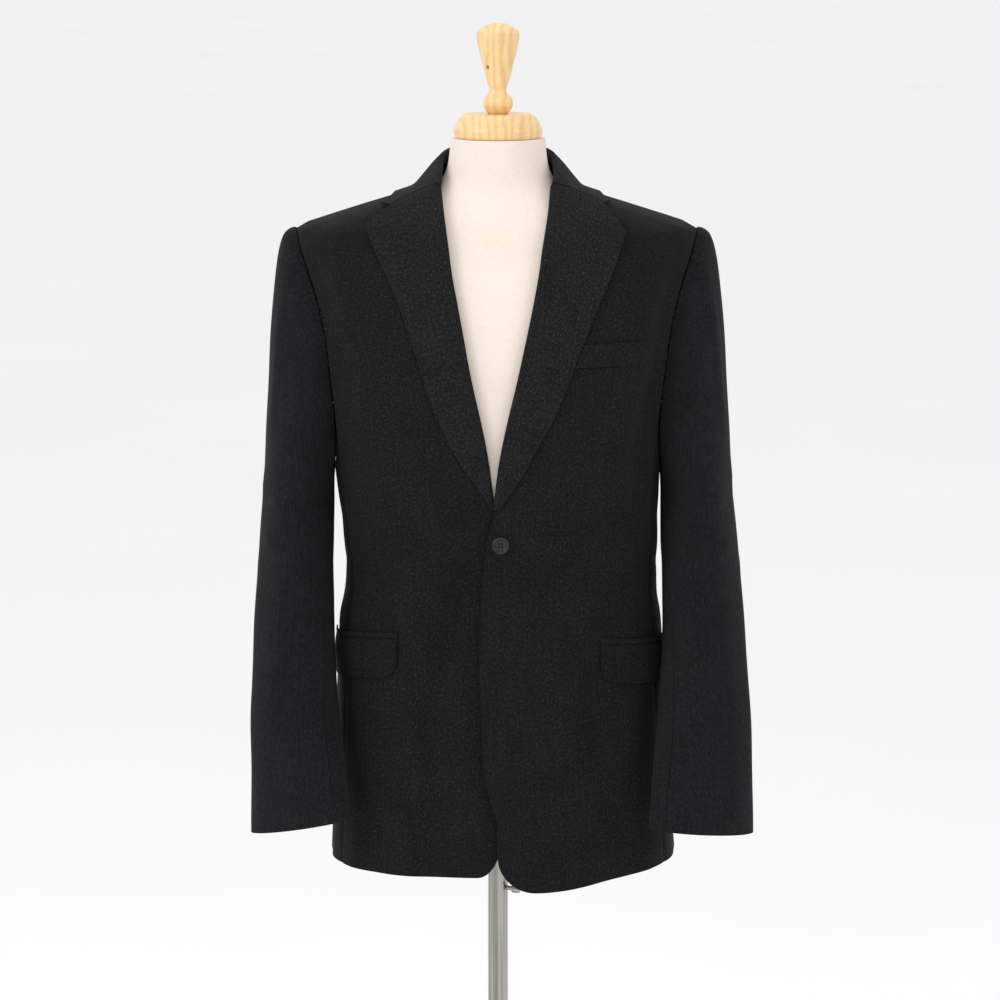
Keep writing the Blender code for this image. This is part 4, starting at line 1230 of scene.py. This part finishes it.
def add_button(name, place):
    r, t = BUTTON_RADIUS, BUTTON_THICKNESS
    profile = [
        (0.0, t * 0.44), (r * 0.2, t * 0.44), (r * 0.42, t * 0.45), (r * 0.55, t * 0.48),
        (r * 0.63, t * 0.58), (r * 0.68, t * 0.80), (r * 0.73, t * 0.94), (r * 0.79, t),
        (r * 0.86, t * 0.99), (r * 0.93, t * 0.90), (r * 0.98, t * 0.74), (r, t * 0.55),
        (r * 0.99, t * 0.36), (r * 0.95, t * 0.18), (r * 0.88, t * 0.06), (r * 0.8, 0.0), (0.0, 0.0),
    ]
    at = face_frame(place)
    button = add_turned(name, profile, HORN, steps=72, sharp=80)
    turns = [math.radians(45 + 90 * i) for i in range(4)]
    spots = [Vector((math.cos(a), math.sin(a), 0)) * r * 0.26 for a in turns]
    bore = [(0, t * 2), (BUTTON_HOLE, t * 2), (BUTTON_HOLE, -t), (0, -t)]
    for i, spot in enumerate(spots):
        drill = add_turned(f"{name}_drill", bore, HORN, steps=20)
        drill.data.transform(Matrix.Translation(spot))
        cut = button.modifiers.new(f"Hole {i + 1}", "BOOLEAN")
        cut.operation = "DIFFERENCE"
        cut.object = drill
        cut_mesh = baked(button)
        button.modifiers.clear()
        button.data = cut_mesh
        bpy.data.objects.remove(drill)
    button.data.transform(at)
    finish_hard(button, "horn_button", name.replace("coat_", ""))
    strands = []
    for start, end in ((0, 2), (1, 3)):
        for shift in (-0.00022, 0.00022):
            a, b = spots[start], spots[end]
            aside = Vector((-(b - a).y, (b - a).x, 0)).normalized() * shift
            line = [a.lerp(b, share) + aside for share in (0, 0.12, 0.5, 0.88, 1)]
            lifts = (0.20, 0.47, 0.53 + 0.05 * start, 0.47, 0.20)
            points = [at @ (point + Vector((0, 0, t * lift))) for point, lift in zip(line, lifts)]
            strands.append(add_tube(f"{name}_strand", points, 0.00024, THREAD))
    threads = joined(f"{name}_threads", strands)
    finish_hard(threads, "horn_button")


def add_buttons():
    top = torso_skin(LEFT, angle_of_x(LEFT, 0.003, BUTTON_Z), BUTTON_Z)
    top.y -= LAID + SEAM
    add_button("coat_button_top", top)
    add_button("coat_button_lower", on_front(RIGHT, -0.002, LOWER_BUTTON_Z, LAID))


def add_buttonhole(name, side, x, z, length, lift, tilt=0.0, eyelet=True):
    """A worked buttonhole: a purl of thread stitches round a slit, with a keyhole end."""
    half, rise = length / 2, 0.0011
    outline = []
    for i in range(48):
        a = 2 * math.pi * i / 48
        along = half * math.cos(a)
        wide = rise * abs(math.sin(a)) ** 0.6 * math.copysign(1, math.sin(a))
        if eyelet:
            wide *= 1 + 0.75 * math.exp(-((along / side.sign + half * 0.72) / (half * 0.22)) ** 2)
        outline.append((along, wide))
    stitches = [Vector(on_front(side, x + a, z + w + a * tilt, lift)) for a, w in outline]
    purl = add_tube(name, stitches, 0.00055, HOLE_THREAD, closed=True)
    bars = []
    count = int(length / 0.0011)
    for i in range(count):
        a = mix(-half * 0.94, half * 0.94, i / (count - 1))
        for way in (-1, 1):
            reaches = (rise * 0.6, rise * 1.75)
            ends = [on_front(side, x + a, z + way * w + a * tilt, lift) for w in reaches]
            bars.append(add_tube(f"{name}_bar", ends, 0.00030, HOLE_THREAD, sides=1))
    whole = joined(name, [purl, *bars])
    finish_hard(whole, "blazer_cloth")


LOWER_HOLE_Z = 0.9835


def add_buttonholes():
    add_buttonhole("hole_lower", LEFT, -0.0005, LOWER_HOLE_Z, 0.021, -0.0002)
    add_buttonhole("hole_top", LEFT, 0.0020, BUTTON_Z, 0.022, -0.0002)
    on_lapel = LAPEL_LIFT + CLOTH + LAID
    add_buttonhole("hole_lapel", LEFT, 0.1205, 1.4790, 0.017, on_lapel, tilt=0.42, eyelet=False)


# ---- Dress form and stand


Throat = namedtuple("Throat", "z across deep")
FORM_SLACK = 0.009  # how much further in the form lies below the waist, clear of the deep folds


def add_form(around=112):
    """The form's smooth torso and neck."""
    neck = table_curves([
        Throat(1.490, 0.0620, 0.0560), Throat(1.545, 0.0570, 0.0535), Throat(1.560, 0.0550, 0.0533),
        Throat(FORM_TOP_Z, NECK_RADIUS, NECK_RADIUS),
    ])
    heights = [FORM_BOTTOM_Z, 0.8015, 0.8035, 0.807, FORM_EDGE_Z]
    heights += [mix(FORM_EDGE_Z, FORM_TOP_Z, i / 150) for i in range(1, 151)]
    rings = []
    for z in heights:
        tuck = 0.016 * max(0.0, (FORM_EDGE_Z - z) / (FORM_EDGE_Z - FORM_BOTTOM_Z)) ** 2
        loose = FORM_SLACK * ease((1.17 - z) / 0.10)
        body_z = min(z, NECK_Z)
        ring = []
        for i in range(around):
            degrees = 360 * i / around
            side = LEFT if degrees <= 180 else RIGHT
            angle = degrees if degrees <= 180 else 360 - degrees
            inset = form_inset(angle, body_z) + tuck + loose + drape(side, angle, body_z)
            point = torso_point(side, angle, body_z, -inset)
            if z <= FORM_EDGE_Z:
                point.z = z
            across, deep = neck["across"](z), neck["deep"](z)
            turn = math.radians(degrees)
            oval = Vector((across * math.sin(turn), -deep * math.cos(turn), z))
            point = point.lerp(oval, ease((z - 1.494) / 0.056))
            ring.append(tuple(point))
        rings.append(ring)
    points = [point for ring in rings for point in ring]
    faces = ring_faces(len(rings), around)
    faces.append(tuple(reversed(range(around))))
    last = (len(rings) - 1) * around
    faces.append(tuple(range(last, last + around)))
    piece = add_mesh("form_torso", points, faces, JERSEY)
    piece.data.set_sharp_from_angle(angle=math.radians(60))
    finish_hard(piece, "form_jersey", "form_body")


def smooth_profile(stations, count):
    """A turned outline through (height, radius) stations, as points from top to bottom."""
    ordered = sorted(stations)
    radius = smooth_curve([z for z, _ in ordered], [r for _, r in ordered])
    low, high = ordered[0][0], ordered[-1][0]
    return [(radius(mix(high, low, i / count)), mix(high, low, i / count)) for i in range(count + 1)]


KNOT_Z = 1.6580  # a dark knot in the handle's wood
KNOT_OUT = 0.0172  # the handle's radius there


def add_neck_cap():
    low = FORM_TOP_Z + SEAM
    top = 1.6040
    cap = [(0, top), (0.0340, top), (0.0378, top - 0.0001), (0.0392, top - 0.0006)]
    bulge = [(top - 0.0012, 0.0402), (top - 0.006, 0.0444), (top - 0.012, 0.0484),
             (top - 0.0185, 0.0505), (top - 0.0235, 0.0500), (low + 0.0004, 0.0488)]
    cap += smooth_profile(bulge, 36) + [(0.0480, low), (0, low)]
    finish_hard(add_turned("form_cap", cap, WOOD, steps=112, sharp=35), "turned_wood", "form_neck_cap")
    foot = top + SEAM
    outline = [(1.7050, 0.0090), (1.7020, 0.0165), (1.6985, 0.0218), (1.6945, 0.0242), (1.6900, 0.0242),
               (1.6810, 0.0226), (1.6690, 0.0200), (1.6500, 0.0152), (1.6370, 0.0115), (1.6305, 0.0095),
               (1.6270, 0.0108), (1.6225, 0.0150), (1.6180, 0.0172), (1.6140, 0.0172), (1.6090, 0.0150),
               (foot + 0.0003, 0.0120)]
    handle = [(0, 1.706), (0.0050, 1.7058)] + smooth_profile(outline, 120) + [(0.0116, foot), (0, foot)]
    finish_hard(add_turned("form_knob", handle, WOOD, steps=88, sharp=35), "turned_wood", "form_handle")
    knot = [(0, 0.0005), (0.0014, 0.0004), (0.0022, 0.0001), (0.0024, -0.0015), (0, -0.0015)]
    turn = Matrix.Rotation(math.radians(-133), 4, "Z") @ Matrix.Rotation(math.radians(90), 4, "Y")
    tall = Matrix.Diagonal((1.45, 1.0, 1.0, 1.0))
    place = Matrix.Translation((0, 0, KNOT_Z)) @ turn @ Matrix.Translation((0, 0, KNOT_OUT)) @ tall
    finish_hard(add_turned("form_knot", knot, KNOT, steps=24, matrix=place), "turned_wood")


def add_stand():
    flange_low = FORM_BOTTOM_Z - SEAM - FLANGE_THICKNESS
    flange_top = FORM_BOTTOM_Z - SEAM
    r = FLANGE_RADIUS
    edge = 0.0006  # its rims are broken by this much
    flange = [(0, flange_top), (r - edge, flange_top), (r, flange_top - edge),
              (r, flange_low + edge), (r - edge, flange_low), (0, flange_low)]
    plate = add_turned("stand_top_plate", flange, PLATE_STEEL, steps=96)
    finish_hard(plate, "brushed_steel", "stand_flange")
    pole_top, pole_low = flange_low - SEAM, BASE_THICKNESS + SEAM
    r = POLE_RADIUS
    pole = [(0, pole_top), (r, pole_top)]
    pole += [(r, mix(pole_top, pole_low, i / 12)) for i in range(1, 12)]
    pole += [(r, pole_low), (0, pole_low)]
    finish_hard(add_turned("stand_tube", pole, POLE_STEEL, steps=96), "brushed_steel", "stand_pole")
    base = [(0, BASE_THICKNESS), (0.08, BASE_THICKNESS), (BASE_RADIUS - 0.012, BASE_THICKNESS)]
    base += [(BASE_RADIUS - 0.009 + 0.009 * math.sin(a), 0.0035 + 0.0065 * math.cos(a) ** 0.8)
             for a in (math.radians(9 * i) for i in range(1, 10))]
    base += [(BASE_RADIUS, 0.0035), (BASE_RADIUS, 0.0), (0, 0.0)]
    finish_hard(add_turned("stand_foot", base, PLATE_STEEL, steps=160), "brushed_steel", "stand_base")
    place = (
        Matrix.Translation((0, 0, CLAMP_Z))
        @ Matrix.Rotation(math.radians(-28), 4, "Z")
        @ Matrix.Rotation(math.radians(90), 4, "Y")
        @ Matrix.Translation((0, 0, POLE_RADIUS + SEAM))
    )
    knob = [(0, 0.0165), (0.0040, 0.0165), (0.0047, 0.0161), (0.0050, 0.0153), (0.0050, 0.0087),
            (0.0046, 0.0079), (0.0038, 0.0076), (0.0026, 0.0072), (0.0026, 0.0), (0, 0.0)]
    screw = add_turned("stand_screw", knob, PLATE_STEEL, steps=60)
    for vertex in screw.data.vertices:
        around = math.atan2(vertex.co.y, vertex.co.x)
        if vertex.co.xy.length > 0.0048:
            vertex.co.xy *= 1 - 0.05 * (0.5 + 0.5 * math.cos(20 * around))
    screw.data.transform(place)
    finish_hard(screw, "brushed_steel", "stand_clamp_screw")


# ---- Room, light and camera

CAMERA_PLACE = Vector((0.0023, -4.3798, 1.9008))
CAMERA_AIM = Vector((0.0023, 0.0, 1.1600))
FLOOR_HALF = 90.0  # the floor reaches the horizon, so no wall stands in the way of a back view


def pale_floor():
    m = Nodes("pale_floor", 0.95)
    grain = m.noise(m.place("object"), 0.8, detail=3.0)
    m.colour(m.ramp(grain, (0.3, (0.915, 0.915, 0.915)), (0.7, (0.935, 0.935, 0.94))))
    m.shader.inputs["Emission Color"].default_value = (1.0, 1.0, 1.0, 1.0)
    m.set(Emission_Strength=0.05, Specular_IOR_Level=0.1)
    return m.material


def add_floor():
    corners = ((-1, -1), (1, -1), (1, 1), (-1, 1))
    points = [Vector((x * FLOOR_HALF, y * FLOOR_HALF, -0.0005)) for x, y in corners]
    add_mesh("floor", points, [(0, 1, 2, 3)], pale_floor())


def add_light(name, place, aim, size, power):
    data = bpy.data.lights.new(name, "AREA")
    data.shape = "RECTANGLE"
    data.size, data.size_y = size
    data.energy = power
    lamp = bpy.data.objects.new(name, data)
    PIECES.objects.link(lamp)
    lamp.location = place
    lamp.rotation_euler = (Vector(aim) - Vector(place)).to_track_quat("-Z", "Y").to_euler()


def add_lights():
    add_light("key", (-3.0, -2.2, 2.9), (0, 0, 1.15), (1.4, 2.2), 46)
    add_light("fill", (3.1, -2.2, 2.5), (0, 0, 1.15), (1.4, 2.2), 14)
    add_light("front", (0.0, -5.2, 3.6), (0, 0, 1.2), (2.0, 1.2), 5)
    add_light("top", (0.0, 0.2, 3.6), (0, 0, 1.0), (2.4, 1.6), 10)
    world = bpy.data.worlds.new("studio")
    bpy.context.scene.world = world
    world.use_nodes = True
    world.node_tree.nodes["Background"].inputs["Color"].default_value = (0.99, 0.99, 1.0, 1.0)
    world.node_tree.nodes["Background"].inputs["Strength"].default_value = 0.91


def add_camera():
    data = bpy.data.cameras.new("photo_view")
    data.lens = 138.816
    data.sensor_width = 36.0
    data.clip_end = 300.0
    camera = bpy.data.objects.new("photo_view", data)
    PIECES.objects.link(camera)
    camera.location = CAMERA_PLACE
    camera.rotation_euler = (CAMERA_AIM - CAMERA_PLACE).to_track_quat("-Z", "Y").to_euler()
    bpy.context.scene.camera = camera
    bpy.context.scene.view_settings.view_transform = "Standard"


def main():
    add_camera()
    add_fronts()
    add_side_panels()
    add_backs()
    add_sleeves()
    add_lapels()
    add_collar()
    add_flap_pockets()
    add_chest_welt()
    add_buttons()
    add_buttonholes()
    add_form()
    add_neck_cap()
    add_stand()
    add_floor()
    add_lights()


main()
